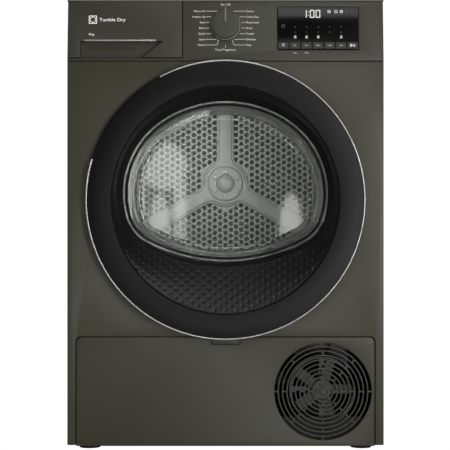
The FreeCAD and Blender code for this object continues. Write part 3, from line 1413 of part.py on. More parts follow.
# ---- kick flap ---------------------------------------------------------------------------------
def grille_cutter():
    """Eleven rings of slots about one centre, each crossed by four bridges."""
    past = 2 * cut_margin
    high = flap_depth + 2 * past
    parts = {0: [], 1: []}
    for ring in range(SLOT_RINGS):
        middle = slot_first + slot_pitch * ring
        discs = []
        for suffix, radius in (("outer", middle + slot_width / 2), ("inner", middle - slot_width / 2)):
            solid = document.addObject("Part::Cylinder", "slot_%d_%s" % (ring, suffix))
            bind(solid, Radius=radius, Height=high)
            discs.append(solid)
        even = 0 if ring % 2 == 0 and ring > 0 else 1
        parts[even].append(cut("slot_ring_%d" % ring, *discs))
    cutters = []
    reach = slot_first + slot_pitch * (SLOT_RINGS + 1)
    for kind, first_angle in ((0, 0.0), (1, 45.0)):
        bars = []
        for angle in (first_angle, first_angle + 90.0):
            bar = document.addObject("Part::Box", "bridge_%d" % angle)
            bind(bar, Length=2 * reach, Width=slot_bridge, Height=high + past)
            x = -reach * cosine(angle) + slot_bridge / 2 * sine(angle)
            y = -reach * sine(angle) - slot_bridge / 2 * cosine(angle)
            place(bar, x, y, -cut_margin, FreeCAD.Rotation(FreeCAD.Vector(0, 0, 1), angle))
            bars.append(bar)
        cutters.append(cut("slots_%d" % kind, join("slot_rings_%d" % kind, *parts[kind]), *bars))
    cutter = join("grille_cutter", *cutters)
    stand = FreeCAD.Rotation(FreeCAD.Vector(1, 0, 0), 90)
    place(cutter, grille_x, front + flap_depth + past, grille_z, stand)
    return cutter


def make_flap():
    """Kick flap: a shallow moulded tray hinged at its foot, with the round grille at the right."""
    owner = body("kick_flap")
    sketch = sketch_on(owner, "XZ", (0.0, 0.0, -front))
    side, notch_top = flap_half_width, flap_top - flap_notch_depth
    foot = skirt_bottom - flap_foot_drop
    outline(sketch, [
        (-side, foot), (side, foot), (side, flap_top), (flap_notch, flap_top),
        (flap_notch, notch_top), (-flap_notch, notch_top), (-flap_notch, flap_top), (-side, flap_top)])
    pad(owner, sketch, flap_depth, backwards=True)
    corner_z, corner_x = flap_top.value, side.value
    y_axis = FreeCAD.Vector(0, 1, 0)

    def is_top_corner(edge):
        box = edge.BoundBox
        at_corner = abs(box.ZMax - corner_z) < 0.01 and abs(abs(box.Center.x) - corner_x) < 0.01
        return at_corner and runs_along(edge, y_axis)
    round_edges(owner, flap_corner, is_top_corner)
    wall = flap_wall
    hollow = block("flap_hollow", (-side + wall, side - wall),
                   (front + wall, front + flap_depth + cut_margin),
                   (foot + wall, notch_top - wall))
    tab_z = (notch_top - button_height, notch_top)
    tab_slot = block("button_slot", (-button_width / 2 - seam, button_width / 2 + seam),
                     (front - cut_margin, front + flap_depth + cut_margin),
                     (tab_z[0] - seam, tab_z[1] + cut_margin))
    tray = cut("flap_tray", owner, hollow)
    keeper = block("button_keeper", (-button_width / 2 - keeper_margin, button_width / 2 + keeper_margin),
                   (front + wall - cut_margin, front + flap_depth),
                   (tab_z[0] - keeper_low, tab_z[0] - keeper_high))
    node("kick_flap", cut("kick_flap_cut", join("flap_joined", tray, keeper), grille_cutter(), tab_slot))
    node("flap_button", block("flap_button_block", (-button_width / 2, button_width / 2),
                              (front - button_stand, front + button_back), tab_z))


# ---- assembly ----------------------------------------------------------------------------------
make_base_tray()
make_feet()
make_side_panels()
make_top_panel()
make_front_panel()
make_rear_panel()
make_fascia()
make_display()
make_keys()
make_knob()
make_drawer()
make_door_ring()
make_door_rear()
make_door_cone()
make_door_glass()
make_hinge()
make_catch()
make_bulkhead()
make_filter()
make_drum_shell()
make_back_plate()
make_lifters()
make_hub()
make_bearing()
make_rollers()
make_belt()
make_motor()
make_blower()
make_heat_pump()
make_cooling_fan()
make_flap()

document.recompute()
for thing in document.Objects:
    if "Invalid" in thing.State or "Error" in thing.State:
        raise RuntimeError("%s is %s" % (thing.Name, thing.State))
for name, thing in nodes.items():
    if thing.Shape.isNull() or not thing.Shape.isValid() or thing.Shape.Volume <= 0:
        raise RuntimeError("%s has no valid solid" % name)
os.makedirs("parts", exist_ok=True)
for name, thing in nodes.items():
    thing.Shape.exportStep("parts/%s.step" % name)
print("%d nodes written" % len(nodes))
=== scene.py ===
import math
import bmesh
import bpy
from mathutils import Matrix, Vector


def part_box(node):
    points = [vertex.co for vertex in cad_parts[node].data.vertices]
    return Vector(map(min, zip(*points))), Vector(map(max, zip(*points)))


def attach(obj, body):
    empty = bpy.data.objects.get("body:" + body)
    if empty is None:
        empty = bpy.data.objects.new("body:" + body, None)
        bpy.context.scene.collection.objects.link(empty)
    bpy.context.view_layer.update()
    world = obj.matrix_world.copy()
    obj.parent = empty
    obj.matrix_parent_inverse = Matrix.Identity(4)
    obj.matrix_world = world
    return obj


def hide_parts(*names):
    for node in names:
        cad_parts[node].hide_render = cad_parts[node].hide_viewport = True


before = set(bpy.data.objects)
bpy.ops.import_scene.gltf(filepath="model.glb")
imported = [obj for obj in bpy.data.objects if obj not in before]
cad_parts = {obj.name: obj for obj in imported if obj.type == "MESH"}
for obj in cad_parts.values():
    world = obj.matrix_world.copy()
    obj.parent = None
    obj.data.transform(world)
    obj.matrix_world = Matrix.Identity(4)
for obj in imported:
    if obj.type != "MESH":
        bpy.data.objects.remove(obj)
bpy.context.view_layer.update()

# Camera: straight on to the front panel, a little over two and a half metres away, level with
# the middle of the cabinet; the frame is about as high as the cabinet itself.
panel_low, panel_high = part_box("front_panel")
panel_y = panel_low[1]
frame_height = 0.8487
camera_distance = 2.6
camera_x, camera_z = -0.0009, 0.4251
camera_data = bpy.data.cameras.new("camera")
camera_data.sensor_width = 36.0
camera_data.lens = camera_data.sensor_width * camera_distance / frame_height
camera = bpy.data.objects.new("camera", camera_data)
camera.location = (camera_x, panel_y - camera_distance, camera_z)
camera.rotation_euler = (math.radians(90), 0.0, 0.0)
bpy.context.scene.collection.objects.link(camera)
bpy.context.scene.camera = camera

# Studio: a plain pale floor and a white surround, both plain white to the camera and soft or matt
# to everything else; soft boxes all round; narrow ones that the door's glass mirrors; and a small
# lamp inside the drum.
scene = bpy.context.scene
scene.view_settings.view_transform = "Standard"
white_seen, room_light = 1.05, 0.05
world = bpy.data.worlds.new("studio")
world.use_nodes = True
scene.world = world
world_nodes, world_links = world.node_tree.nodes, world.node_tree.links
world_nodes.clear()
seen = world_nodes.new("ShaderNodeBackground")
lit = world_nodes.new("ShaderNodeBackground")
for background in (seen, lit):
    background.inputs["Color"].default_value = (1.0, 1.0, 1.0, 1.0)
seen.inputs["Strength"].default_value = white_seen
lit.inputs["Strength"].default_value = room_light


def white_to_camera(nodes, links, white, other, out):
    """Show one shader to the camera alone and the other one to everything else."""
    ray = nodes.new("ShaderNodeLightPath")
    pick = nodes.new("ShaderNodeMixShader")
    links.new(ray.outputs["Is Camera Ray"], pick.inputs[0])
    links.new(other.outputs[0], pick.inputs[1])
    links.new(white.outputs[0], pick.inputs[2])
    links.new(pick.outputs[0], out.inputs["Surface"])


white_to_camera(world_nodes, world_links, seen, lit, world_nodes.new("ShaderNodeOutputWorld"))


def soft_box(name, place, aim, size, power, shape="RECTANGLE"):
    data = bpy.data.lights.new(name, "AREA")
    data.shape = shape
    data.size, data.size_y = size
    data.energy = power
    light = bpy.data.objects.new(name, data)
    light.location = place
    direction = Vector(aim) - Vector(place)
    light.rotation_euler = direction.to_track_quat("-Z", "Y").to_euler()
    scene.collection.objects.link(light)
    return light


soft_box("key", (0.95, -2.9, 0.42), (0.50, panel_y, 0.40), (0.36, 1.5), 16.0)
soft_box("fill", (0.3, -3.0, 1.9), (0.3, panel_y, 0.84), (1.0, 0.6), 6.0)
soft_box("overhead", (0.0, -0.3, 2.7), (0.0, 0.0, 0.4), (1.4, 1.0), 9.0)
soft_box("low_fill", (0.25, -2.4, 0.10), (0.1, panel_y, 0.12), (1.6, 0.16), 2.9)
mirrored_y = -2.90
for name, x, z, size, power, shape in (
        ("left_strip", -0.181, 0.44, (0.046, 0.32), 0.15, "RECTANGLE"),
        ("left_fin", -0.262, 0.40, (0.085, 0.30), 0.22, "ELLIPSE"),
        ("left_limb", -0.335, 0.48, (0.030, 0.26), 0.08, "ELLIPSE"),
        ("left_glow", -0.250, 0.66, (0.19, 0.19), 0.28, "ELLIPSE"),
        ("right_fin", 0.262, 0.40, (0.09, 0.30), 0.26, "ELLIPSE")):
    soft_box(name, (x, mirrored_y, z), (x, 0.0, z), size, power, shape)
soft_box("rear_fill", (-0.8, 3.0, 1.5), (0.0, 0.3, 0.45), (1.6, 1.2), 30.0)
soft_box("left_fill", (-3.0, 0.9, 1.3), (-0.3, 0.1, 0.40), (1.2, 1.2), 14.0)
soft_box("right_fill", (3.0, 0.9, 1.3), (0.3, 0.1, 0.40), (1.2, 1.2), 14.0)
drum_lamp = soft_box("drum_lamp", (-0.10, -0.135, 0.60), (-0.04, 0.24, 0.54), (0.14, 0.14), 1.35)
drum_lamp.visible_camera = False
drum_lamp.visible_glossy = False

floor_mesh = bpy.data.meshes.new("floor")
build = bmesh.new()
bmesh.ops.create_grid(build, x_segments=1, y_segments=1, size=6.0)
build.to_mesh(floor_mesh)
build.free()
floor = bpy.data.objects.new("floor", floor_mesh)
floor_finish = bpy.data.materials.new("pale_floor")
floor_finish.use_nodes = True
floor_nodes, floor_links = floor_finish.node_tree.nodes, floor_finish.node_tree.links
floor_shader = floor_nodes["Principled BSDF"]
floor_shader.inputs["Base Color"].default_value = (0.55, 0.55, 0.55, 1.0)
floor_shader.inputs["Roughness"].default_value = 0.9
floor_white = floor_nodes.new("ShaderNodeEmission")
floor_white.inputs["Strength"].default_value = white_seen
white_to_camera(floor_nodes, floor_links, floor_white, floor_shader, floor_nodes["Material Output"])
floor.data.materials.append(floor_finish)
scene.collection.objects.link(floor)


# Cabinet shell: painted sheet steel, olive grey, folded round its edges. The front sheet has a
# round mouth behind the door, a slot for the catch and a cut-out for the kick flap.
def coloured(value):
    return (value[0], value[1], value[2], 1.0)


def noise(nodes, links, place, scale, detail):
    """A cloudy pattern that follows the given coordinates."""
    made = nodes.new("ShaderNodeTexNoise")
    made.inputs["Scale"].default_value = scale
    made.inputs["Detail"].default_value = detail
    links.new(place, made.inputs["Vector"])
    return made


def math_node(nodes, operation, value):
    """A sum with a fixed second number."""
    made = nodes.new("ShaderNodeMath")
    made.operation = operation
    made.inputs[1].default_value = value
    return made


def finish(name, colour, rough=0.4, metal=0.0, spread=0.08, grain=260.0, relief=0.00003,
           coat=0.0, stretch=(1.0, 1.0, 1.0), sheen=0.0, shine=0.5):
    """A surface with a fine grain in its colour, gloss and relief."""
    material = bpy.data.materials.new(name)
    material.use_nodes = True
    nodes, links = material.node_tree.nodes, material.node_tree.links
    shader = nodes["Principled BSDF"]
    shader.inputs["Metallic"].default_value = metal
    shader.inputs["Specular IOR Level"].default_value = shine
    shader.inputs["Coat Weight"].default_value = coat
    shader.inputs["Coat Roughness"].default_value = 0.12
    shader.inputs["Sheen Weight"].default_value = sheen
    place = nodes.new("ShaderNodeTexCoord")
    mapping = nodes.new("ShaderNodeMapping")
    mapping.inputs["Scale"].default_value = stretch
    links.new(place.outputs["Object"], mapping.inputs["Vector"])
    fine = noise(nodes, links, mapping.outputs["Vector"], grain, 3.0)
    broad = noise(nodes, links, mapping.outputs["Vector"], 9.0, 4.0)
    blend = math_node(nodes, "MULTIPLY_ADD", 0.5)
    links.new(broad.outputs["Fac"], blend.inputs[0])
    half = math_node(nodes, "MULTIPLY", 0.5)
    links.new(fine.outputs["Fac"], half.inputs[0])
    links.new(half.outputs[0], blend.inputs[2])
    ramp = nodes.new("ShaderNodeValToRGB")
    ramp.color_ramp.elements[0].position = 0.3
    ramp.color_ramp.elements[1].position = 0.7
    ramp.color_ramp.elements[0].color = coloured([part * (1 - spread) for part in colour])
    ramp.color_ramp.elements[1].color = coloured([min(1.0, part * (1 + spread)) for part in colour])
    links.new(blend.outputs[0], ramp.inputs["Fac"])
    links.new(ramp.outputs["Color"], shader.inputs["Base Color"])
    gloss = nodes.new("ShaderNodeMapRange")
    gloss.inputs["To Min"].default_value = max(0.02, rough - 0.06)
    gloss.inputs["To Max"].default_value = min(1.0, rough + 0.06)
    links.new(broad.outputs["Fac"], gloss.inputs["Value"])
    links.new(gloss.outputs["Result"], shader.inputs["Roughness"])
    bump = nodes.new("ShaderNodeBump")
    bump.inputs["Strength"].default_value = 0.6
    bump.inputs["Distance"].default_value = relief
    links.new(fine.outputs["Fac"], bump.inputs["Height"])
    links.new(bump.outputs["Normal"], shader.inputs["Normal"])
    return material


def dress(material, *nodes):
    """Give nodes that are kept as they are their finish."""
    for node in nodes:
        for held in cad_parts[node].material_slots:
            held.material = material


def piece(name, build, material, body, slot, *replaced, angle=35.0):
    """Turn a finished bmesh into a piece that rides on a body."""
    bmesh.ops.remove_doubles(build, verts=build.verts[:], dist=1e-6)
    mesh = bpy.data.meshes.new(name)
    build.to_mesh(mesh)
    build.free()
    mesh.shade_smooth()
    mesh.set_sharp_from_angle(angle=math.radians(angle))
    made = bpy.data.objects.new(name, mesh)
    made.data.materials.append(material)
    scene.collection.objects.link(made)
    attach(made, body)
    if replaced:
        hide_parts(*replaced)


def loop_edges(build, points, y):
    """A closed loop of edges through (x, z) points in an upright plane."""
    corners = [build.verts.new((x, y, z)) for x, z in points]
    count = len(corners)
    return [build.edges.new((corners[i], corners[(i + 1) % count])) for i in range(count)]


def circle_points(x, z, radius, count=96, start=0.0, sweep=360.0):
    turns = [math.radians(start + sweep * i / count) for i in range(count)]
    return [(x + radius * math.cos(turn), z + radius * math.sin(turn)) for turn in turns]


def rounded_points(x, z, radius, steps=5):
    """A rectangle's outline with each corner rounded; x and z are (low, high)."""
    points = []
    corners = ((x[1], z[1], 0.0), (x[0], z[1], 90.0), (x[0], z[0], 180.0), (x[1], z[0], 270.0))
    for cx, cz, start in corners:
        inner_x = cx - radius if cx == x[1] else cx + radius
        inner_z = cz - radius if cz == z[1] else cz + radius
        for step in range(steps + 1):
            turn = math.radians(start + 90.0 * step / steps)
            points.append((inner_x + radius * math.cos(turn), inner_z + radius * math.sin(turn)))
    return points


def plate(build, outlines, y, soft=0.001, steps=3):
    """A flat plate between two planes along y, cut by its outlines, with its front edge rounded."""
    front_y, back_y = y
    edges = []
    for outline in outlines:
        edges += loop_edges(build, outline, front_y + soft)
    filled = bmesh.ops.triangle_fill(build, edges=edges, use_beauty=True)
    faces = [item for item in filled["geom"] if isinstance(item, bmesh.types.BMFace)]
    pushed = bmesh.ops.extrude_face_region(build, geom=faces, use_keep_orig=True)
    moved = [item for item in pushed["geom"] if isinstance(item, bmesh.types.BMVert)]
    bmesh.ops.translate(build, verts=moved, vec=(0.0, back_y - front_y - soft, 0.0))
    bmesh.ops.recalc_face_normals(build, faces=build.faces[:])
    if soft:
        last = (0.0, 0.0)
        for step in range(1, steps + 1):
            turn = math.radians(90.0 * step / steps)
            now = (soft * (1 - math.cos(turn)), soft * math.sin(turn))
            bmesh.ops.inset_region(build, faces=faces, thickness=now[0] - last[0],
                                   depth=now[1] - last[1], use_boundary=True, use_even_offset=True)
            last = now


cabinet_paint = finish("cabinet_paint", (0.098, 0.098, 0.058), rough=0.40, spread=0.05,
                       grain=900.0, relief=0.00002, coat=0.06)
ring_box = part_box("door_ring")
door_x, door_z = 0.0, (ring_box[0][2] + ring_box[1][2]) / 2
mouth_radius = 0.218
flap_low, flap_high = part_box("kick_flap")
left, right = panel_low[0], panel_high[0]
gap, corner_inset, slot_gap, sheet_depth = 0.0012, 0.009, 0.004, 0.012
cutout_corner = circle_points(flap_high[0] - corner_inset, flap_high[2] - corner_inset,
                              corner_inset + gap, 6, 0.0, 90.0)
panel_outline = [(left, panel_low[2]), (flap_low[0] - gap, panel_low[2]),
                 (flap_low[0] - gap, flap_high[2] - corner_inset)]
panel_outline += [(-x, z) for x, z in cutout_corner] + cutout_corner[::-1]
panel_outline += [(flap_high[0] + gap, panel_low[2]), (right, panel_low[2]), (right, panel_high[2]),
                  (left, panel_high[2])]
build = bmesh.new()
catch_low, catch_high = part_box("door_striker")
slot_outline = rounded_points((catch_low[0] - slot_gap, catch_high[0] + slot_gap),
                              (catch_low[2] - slot_gap, catch_high[2] + slot_gap), 0.002, 3)
plate(build, [panel_outline, circle_points(door_x, door_z, mouth_radius, 128), slot_outline],
      (panel_y, panel_y + sheet_depth), soft=0.0016)
piece("front_sheet", build, cabinet_paint, "cabinet", "cabinet_paint", "front_panel")
dress(cabinet_paint, "side_panel_left", "side_panel_right")

# Control fascia: one olive-grey moulding right of the drawer; its lip runs on under the drawer.
# The display's window sits in a rebate, the knob's spindle comes through it, and the top is of
# the same plastic.
fascia_plastic = finish("fascia_plastic", (0.094, 0.094, 0.064), rough=0.42, spread=0.05,
                        grain=1200.0, relief=0.00002)
dress(fascia_plastic, "top_panel")
fascia_low, fascia_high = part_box("control_fascia")
drawer_low, drawer_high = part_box("drawer_front")
seam = 0.001
lip_top = drawer_low[2] - seam
fascia_left = drawer_high[0] + seam
window_low, window_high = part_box("display_window")
lean = 0.0015
moulded_edge = 0.0014
backing_margin, backing_depth = 0.002, 0.008
fascia_outline = [
    (fascia_low[0], fascia_low[2]), (fascia_high[0], fascia_low[2]),
    (fascia_high[0], lip_top), (fascia_high[0] - lean, fascia_high[2]), (fascia_left, fascia_high[2]),
    (fascia_left, lip_top), (fascia_low[0], lip_top)]
window_outline = rounded_points((window_low[0], window_high[0]), (window_low[2], window_high[2]), 0.0015)
build = bmesh.new()
plate(build, [fascia_outline, window_outline], (fascia_low[1], fascia_high[1]), soft=moulded_edge)
plate(build, [rounded_points((window_low[0] - backing_margin, window_high[0] + backing_margin),
                             (window_low[2] - backing_margin, window_high[2] + backing_margin), 0.001)],
      (window_low[1] + backing_depth, fascia_high[1] + 0.0005), soft=0.0)
piece("fascia", build, fascia_plastic, "cabinet", "fascia_plastic", "control_fascia")

# Display: a black gloss window flush in the fascia, printed and lit from behind with white
# figures and small plain signs; seven keys fill the opening along its foot.
display_gloss = finish("display_gloss", (0.0055, 0.0055, 0.0055), rough=0.14, spread=0.1,
                       grain=40.0, relief=0.000002, shine=0.25)
key_boxes = [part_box("key_%d" % number) for number in range(1, 8)]
key_gap = 0.0006
opening = ((key_boxes[0][0][0] - key_gap, key_boxes[-1][1][0] + key_gap),
           (key_boxes[0][0][2] - key_gap, key_boxes[0][1][2] + key_gap))
build = bmesh.new()
pane_gap = 0.0003
plate(build, [rounded_points((window_low[0] + pane_gap, window_high[0] - pane_gap),
                             (window_low[2] + pane_gap, window_high[2] - pane_gap), 0.0013),
              rounded_points(*opening, 0.0006)],
      (window_low[1] - 0.0002, window_high[1]), soft=0.0004)
piece("display_pane", build, display_gloss, "cabinet", "display_gloss", "display_window")

key_plastic = finish("key_plastic", (0.078, 0.072, 0.064), rough=0.5, grain=1500.0)
for number, (low, high) in enumerate(key_boxes, 1):
    build = bmesh.new()
    plate(build, [rounded_points((low[0], high[0]), (low[2], high[2]), 0.0008)],
          (low[1] + 0.0009, high[1]), soft=0.0006)
    piece("key_cap_%d" % number, build, key_plastic, "button_%d" % number, "key_plastic",
          "key_%d" % number)


def glow(name, colour, strength):
    """Print or light that reads clearly: a pale matt ink with a faint light of its own; on print, which
    is no lamp, that light is a painted glow.
    """
    material = finish(name, colour, rough=0.7, spread=0.03, grain=2000.0)
    shader = material.node_tree.nodes["Principled BSDF"]
    shader.inputs["Emission Color"].default_value = coloured(colour)
    shader.inputs["Emission Strength"].default_value = strength
    return material


def letters(build, text, x, z, height, align="LEFT", y=0.0, wide=1.0):
    """Add a line of plain lettering, its capitals `height` high, to a bmesh in the front plane."""
    curve = bpy.data.curves.new("lettering", "FONT")
    curve.body = text
    curve.size = height / 0.69
    curve.align_x = align
    curve.resolution_u = 3
    curve.extrude = 0.00008
    holder = bpy.data.objects.new("lettering", curve)
    scene.collection.objects.link(holder)
    bpy.context.view_layer.update()
    shape = bpy.data.meshes.new_from_object(holder.evaluated_get(bpy.context.evaluated_depsgraph_get()))
    shape.transform(Matrix.Translation((x, y, z)) @ Matrix.Rotation(math.radians(90), 4, "X")
                    @ Matrix.Diagonal((wide, 1.0, 1.0, 1.0)))
    build.from_mesh(shape)
    bpy.data.objects.remove(holder)
    bpy.data.curves.remove(curve)
    bpy.data.meshes.remove(shape)


def bar(build, x, z, y, thick=0.0002):
    """A thin printed bar between two x and two z, on a plane."""
    made = bmesh.ops.create_cube(build, size=1.0)
    middle = Vector(((x[0] + x[1]) / 2, y, (z[0] + z[1]) / 2))
    bmesh.ops.scale(build, vec=(x[1] - x[0], thick, z[1] - z[0]), verts=made["verts"])
    bmesh.ops.translate(build, vec=middle, verts=made["verts"])
    return made["verts"]


def stroke(build, start, end, width, y, thick=0.0002):
    """A thin printed line from one (x, z) to another."""
    length = math.hypot(end[0] - start[0], end[1] - start[1])
    verts = bar(build, (-length / 2, length / 2), (-width / 2, width / 2), 0.0, thick)
    turn = Matrix.Rotation(-math.atan2(end[1] - start[1], end[0] - start[0]), 4, "Y")
    middle = Vector(((start[0] + end[0]) / 2, y, (start[1] + end[1]) / 2))
    bmesh.ops.transform(build, matrix=Matrix.Translation(middle) @ turn, verts=verts)


def ring_sign(build, x, z, radius, width, y, count=24):
    """A small printed ring."""
    spots = circle_points(x, z, radius, count)
    for index in range(count):
        stroke(build, spots[index], spots[(index + 1) % count], width, y)


SEGMENTS = {"0": "abcdef", "1": "bc"}


def digit(build, sign, x, z, width, height, y):
    """One digit made of bars, with its lower left corner at (x, z)."""
    thick, end_gap = 0.0017, 0.0004
    upper, lower = (height / 2 + end_gap, height - end_gap), (end_gap, height / 2 - end_gap)
    places = {
        "a": ((thick, width - thick), (height - thick, height)),
        "b": ((width - thick, width), upper),
        "c": ((width - thick, width), lower),
        "d": ((thick, width - thick), (0.0, thick)),
        "e": ((0.0, thick), lower),
        "f": ((0.0, thick), upper),
    }
    for segment in SEGMENTS[sign]:
        spot_x, spot_z = places[segment]
        bar(build, (x + spot_x[0], x + spot_x[1]), (z + spot_z[0], z + spot_z[1]), y)


# The white and bold inks are print on the keys, the fascia and the drawer, yet shine with a faint light
# of their own: painted glow. The lit ink is the display's figures, lit from behind.
white_ink_painted_glow = glow("white_ink_painted_glow", (0.84, 0.84, 0.80), 0.50)
bold_ink_painted_glow = glow("bold_ink_painted_glow", (0.92, 0.92, 0.90), 0.75)
dim_ink = glow("dim_ink", (0.30, 0.30, 0.29), 0.05)
lit_ink = glow("lit_ink", (0.80, 0.80, 0.78), 0.75)
pane_y = window_low[1] - 0.0003
window_x, window_z = window_low[0], window_low[2]
build = bmesh.new()
figure_z, figure_height, dot = window_z + 0.0606, 0.0148, 0.0015
bold_line, fine_line = 0.0012, 0.0007
for sign, across, width in (("1", 0.0475, 0.0080), ("0", 0.0612, 0.0086), ("0", 0.0722, 0.0086)):
    digit(build, sign, window_x + across, figure_z, width, figure_height, pane_y)
for up in (0.0645, 0.0708):
    bar(build, (window_x + 0.0577, window_x + 0.0577 + dot), (window_z + up, window_z + up + dot), pane_y)
icon_z, icon_half = window_z + 0.0722, 0.0028
play_x, point_x = window_x + 0.0975, window_x + 0.1003
stroke(build, (window_x + 0.0955, icon_z - icon_half), (window_x + 0.0955, icon_z + icon_half),
       bold_line, pane_y)
for up in (-icon_half, icon_half):
    stroke(build, (play_x, icon_z + up), (point_x, icon_z), bold_line, pane_y)
clock_x = window_x + 0.1205
for ring_x in (window_x + 0.1105, clock_x):
    ring_sign(build, ring_x, icon_z, 0.0026, 0.0008, pane_y)
for hand in ((clock_x, icon_z + 0.002), (clock_x + 0.0015, icon_z)):
    stroke(build, (clock_x, icon_z), hand, fine_line, pane_y)
sign_z, sign_half = window_z + 0.0245, 0.0024
for across in (0.0335, 0.0552, 0.0770, 0.1204):
    bar(build, (window_x + across - sign_half, window_x + across + sign_half),
        (sign_z - 0.0022, sign_z - 0.0012), pane_y)
    ring_sign(build, window_x + across, sign_z + 0.0010, 0.0016, fine_line, pane_y, 12)
piece("display_figures", build, lit_ink, "cabinet", "display_gloss")
build = bmesh.new()
ring_sign(build, window_x + 0.0110, window_z + 0.0450, 0.0028, 0.0008, pane_y)
for across in (0.1305, 0.1385):
    stroke(build, (window_x + across, icon_z - 0.0022), (window_x + across + 0.003, icon_z + 0.0022),
           fine_line, pane_y)
for column in range(5):
    spot = window_x + 0.0335 + 0.0217 * column
    for row in range(2):
        spot_z = window_z + 0.0335 + 0.0095 * row
        stroke(build, (spot - 0.0016, spot_z), (spot + 0.0016, spot_z), fine_line, pane_y)
piece("display_signs", build, dim_ink, "cabinet", "display_gloss")

for number, (low, high) in enumerate(key_boxes, 1):
    build = bmesh.new()
    middle_x, middle_z = (low[0] + high[0]) / 2, (low[2] + high[2]) / 2
    cap_y = low[1] + 0.0008
    if number == 1:
        ring_sign(build, middle_x, middle_z + 0.001, 0.0022, 0.0008, cap_y)
    elif number == 7:
        tail_x, low_z, high_z = middle_x - 0.004, middle_z - 0.0025, middle_z + 0.0025
        stroke(build, (tail_x, low_z), (tail_x, high_z), bold_line, cap_y)
        for corner_z in (high_z, low_z):
            stroke(build, (tail_x, corner_z), (middle_x - 0.0005, middle_z), bold_line, cap_y)
        for across in (0.0018, 0.0038):
            stroke(build, (middle_x + across, low_z), (middle_x + across, high_z), 0.0011, cap_y)
    else:
        words = {2: "Dry", 3: "Iron", 4: "Delay", 5: "Sound", 6: "Lock"}
        letters(build, words[number], middle_x, middle_z - 0.0008, 0.0022, "CENTER", cap_y)
    # Painted glow: the keys' printed signs shine with a faint light of their own.
    piece("key_sign_%d" % number, build, white_ink_painted_glow, "button_%d" % number, "key_plastic")

# Programme knob: a satin olive dial with a raised pale pointer, standing in a bright ring. The
# programmes are printed round it, each with a line that leads to its place on the dial.
knob_low, knob_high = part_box("knob")
knob_x = (knob_low[0] + knob_high[0]) / 2
knob_z = (knob_low[2] + knob_high[2]) / 2
knob_radius = (knob_high[0] - knob_low[0]) / 2
knob_face = knob_low[1] + 0.0006


def lathe(build, profile, x, z, steps=128, start=0.0, sweep=360.0):
    """Spin a profile of (y, radius) about an axis along y; a part turn is closed at its ends."""
    full = abs(sweep - 360.0) < 0.01
    turn = Matrix.Rotation(-math.radians(start), 3, "Y")
    verts = []
    for y, radius in profile:
        spot = turn @ Vector((radius, 0.0, 0.0))
        verts.append(build.verts.new((x + spot.x, y, z + spot.z)))
    count = len(verts)
    edges = [build.edges.new((verts[i], verts[(i + 1) % count])) for i in range(count)]
    geometry = verts + edges
    if not full:
        geometry = geometry + [build.faces.new(verts)]
    bmesh.ops.spin(build, geom=geometry, cent=(x, 0.0, z), axis=(0.0, -1.0, 0.0),
                   angle=math.radians(sweep), steps=steps, use_merge=full, use_duplicate=False)
    bmesh.ops.remove_doubles(build, verts=build.verts[:], dist=1e-6)
    bmesh.ops.recalc_face_normals(build, faces=build.faces[:])


def rounded_profile(y, radii, soft, steps=4):
    """A tube's section with its two front corners rounded."""
    (front_y, back_y), (inner, outer) = y, radii
    profile = [(back_y, inner), (back_y, outer)]
    for step in range(steps + 1):
        turn = math.radians(90.0 * step / steps)
        profile.append((front_y + soft * (1 - math.sin(turn)), outer - soft * (1 - math.cos(turn))))
    for step in range(steps + 1):
        turn = math.radians(90.0 * step / steps)
        profile.append((front_y + soft * (1 - math.cos(turn)), inner + soft * (1 - math.sin(turn))))
    return profile


knob_plastic = finish("knob_plastic", (0.110, 0.109, 0.082), rough=0.38, spread=0.05, grain=900.0)
bright_trim = finish("bright_trim", (0.88, 0.88, 0.87), rough=0.24, metal=0.62, spread=0.03,
                     grain=60.0, relief=0.000003)
pointer_ink = finish("pointer_ink", (0.34, 0.34, 0.31), rough=0.45, spread=0.04, grain=900.0)
build = bmesh.new()
soft = 0.0022
knob_foot, spindle_end, spindle_radius = panel_y - 0.0008, panel_y + 0.010, 0.0035
profile = [(knob_face - 0.0002, 0.0), (knob_face, knob_radius * 0.7)]
for step in range(7):
    turn = math.radians(15.0 * step)
    profile.append((knob_face + 0.0003 + soft * (1 - math.cos(turn)),
                    knob_radius - soft * (1 - math.sin(turn))))
profile += [(knob_foot, knob_radius), (knob_foot, spindle_radius), (spindle_end, spindle_radius),
            (spindle_end, 0.0)]
lathe(build, profile, knob_x, knob_z, steps=96)
piece("dial", build, knob_plastic, "programme_knob", "knob_plastic", "knob")
build = bmesh.new()
pointer_half = 0.0018
plate(build, [rounded_points((knob_x - pointer_half, knob_x + pointer_half),
                             (knob_z + 0.0042, knob_z + knob_radius - 0.0012), 0.0008)],
      (knob_face - 0.0006, knob_face + 0.0015), soft=0.0004)
piece("dial_pointer", build, pointer_ink, "programme_knob", "knob_plastic")
ring_low, ring_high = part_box("knob_ring")
build = bmesh.new()
lathe(build, rounded_profile((ring_low[1], ring_high[1]),
                             (knob_radius + 0.0001, (ring_high[0] - ring_low[0]) / 2), 0.0006),
      knob_x, knob_z, steps=96)
dial_chrome = finish("dial_chrome", (0.62, 0.62, 0.60), rough=0.26, metal=0.15, spread=0.03,
                     grain=60.0, relief=0.000003)
piece("dial_ring", build, dial_chrome, "programme_knob", "bright_trim", "knob_ring")

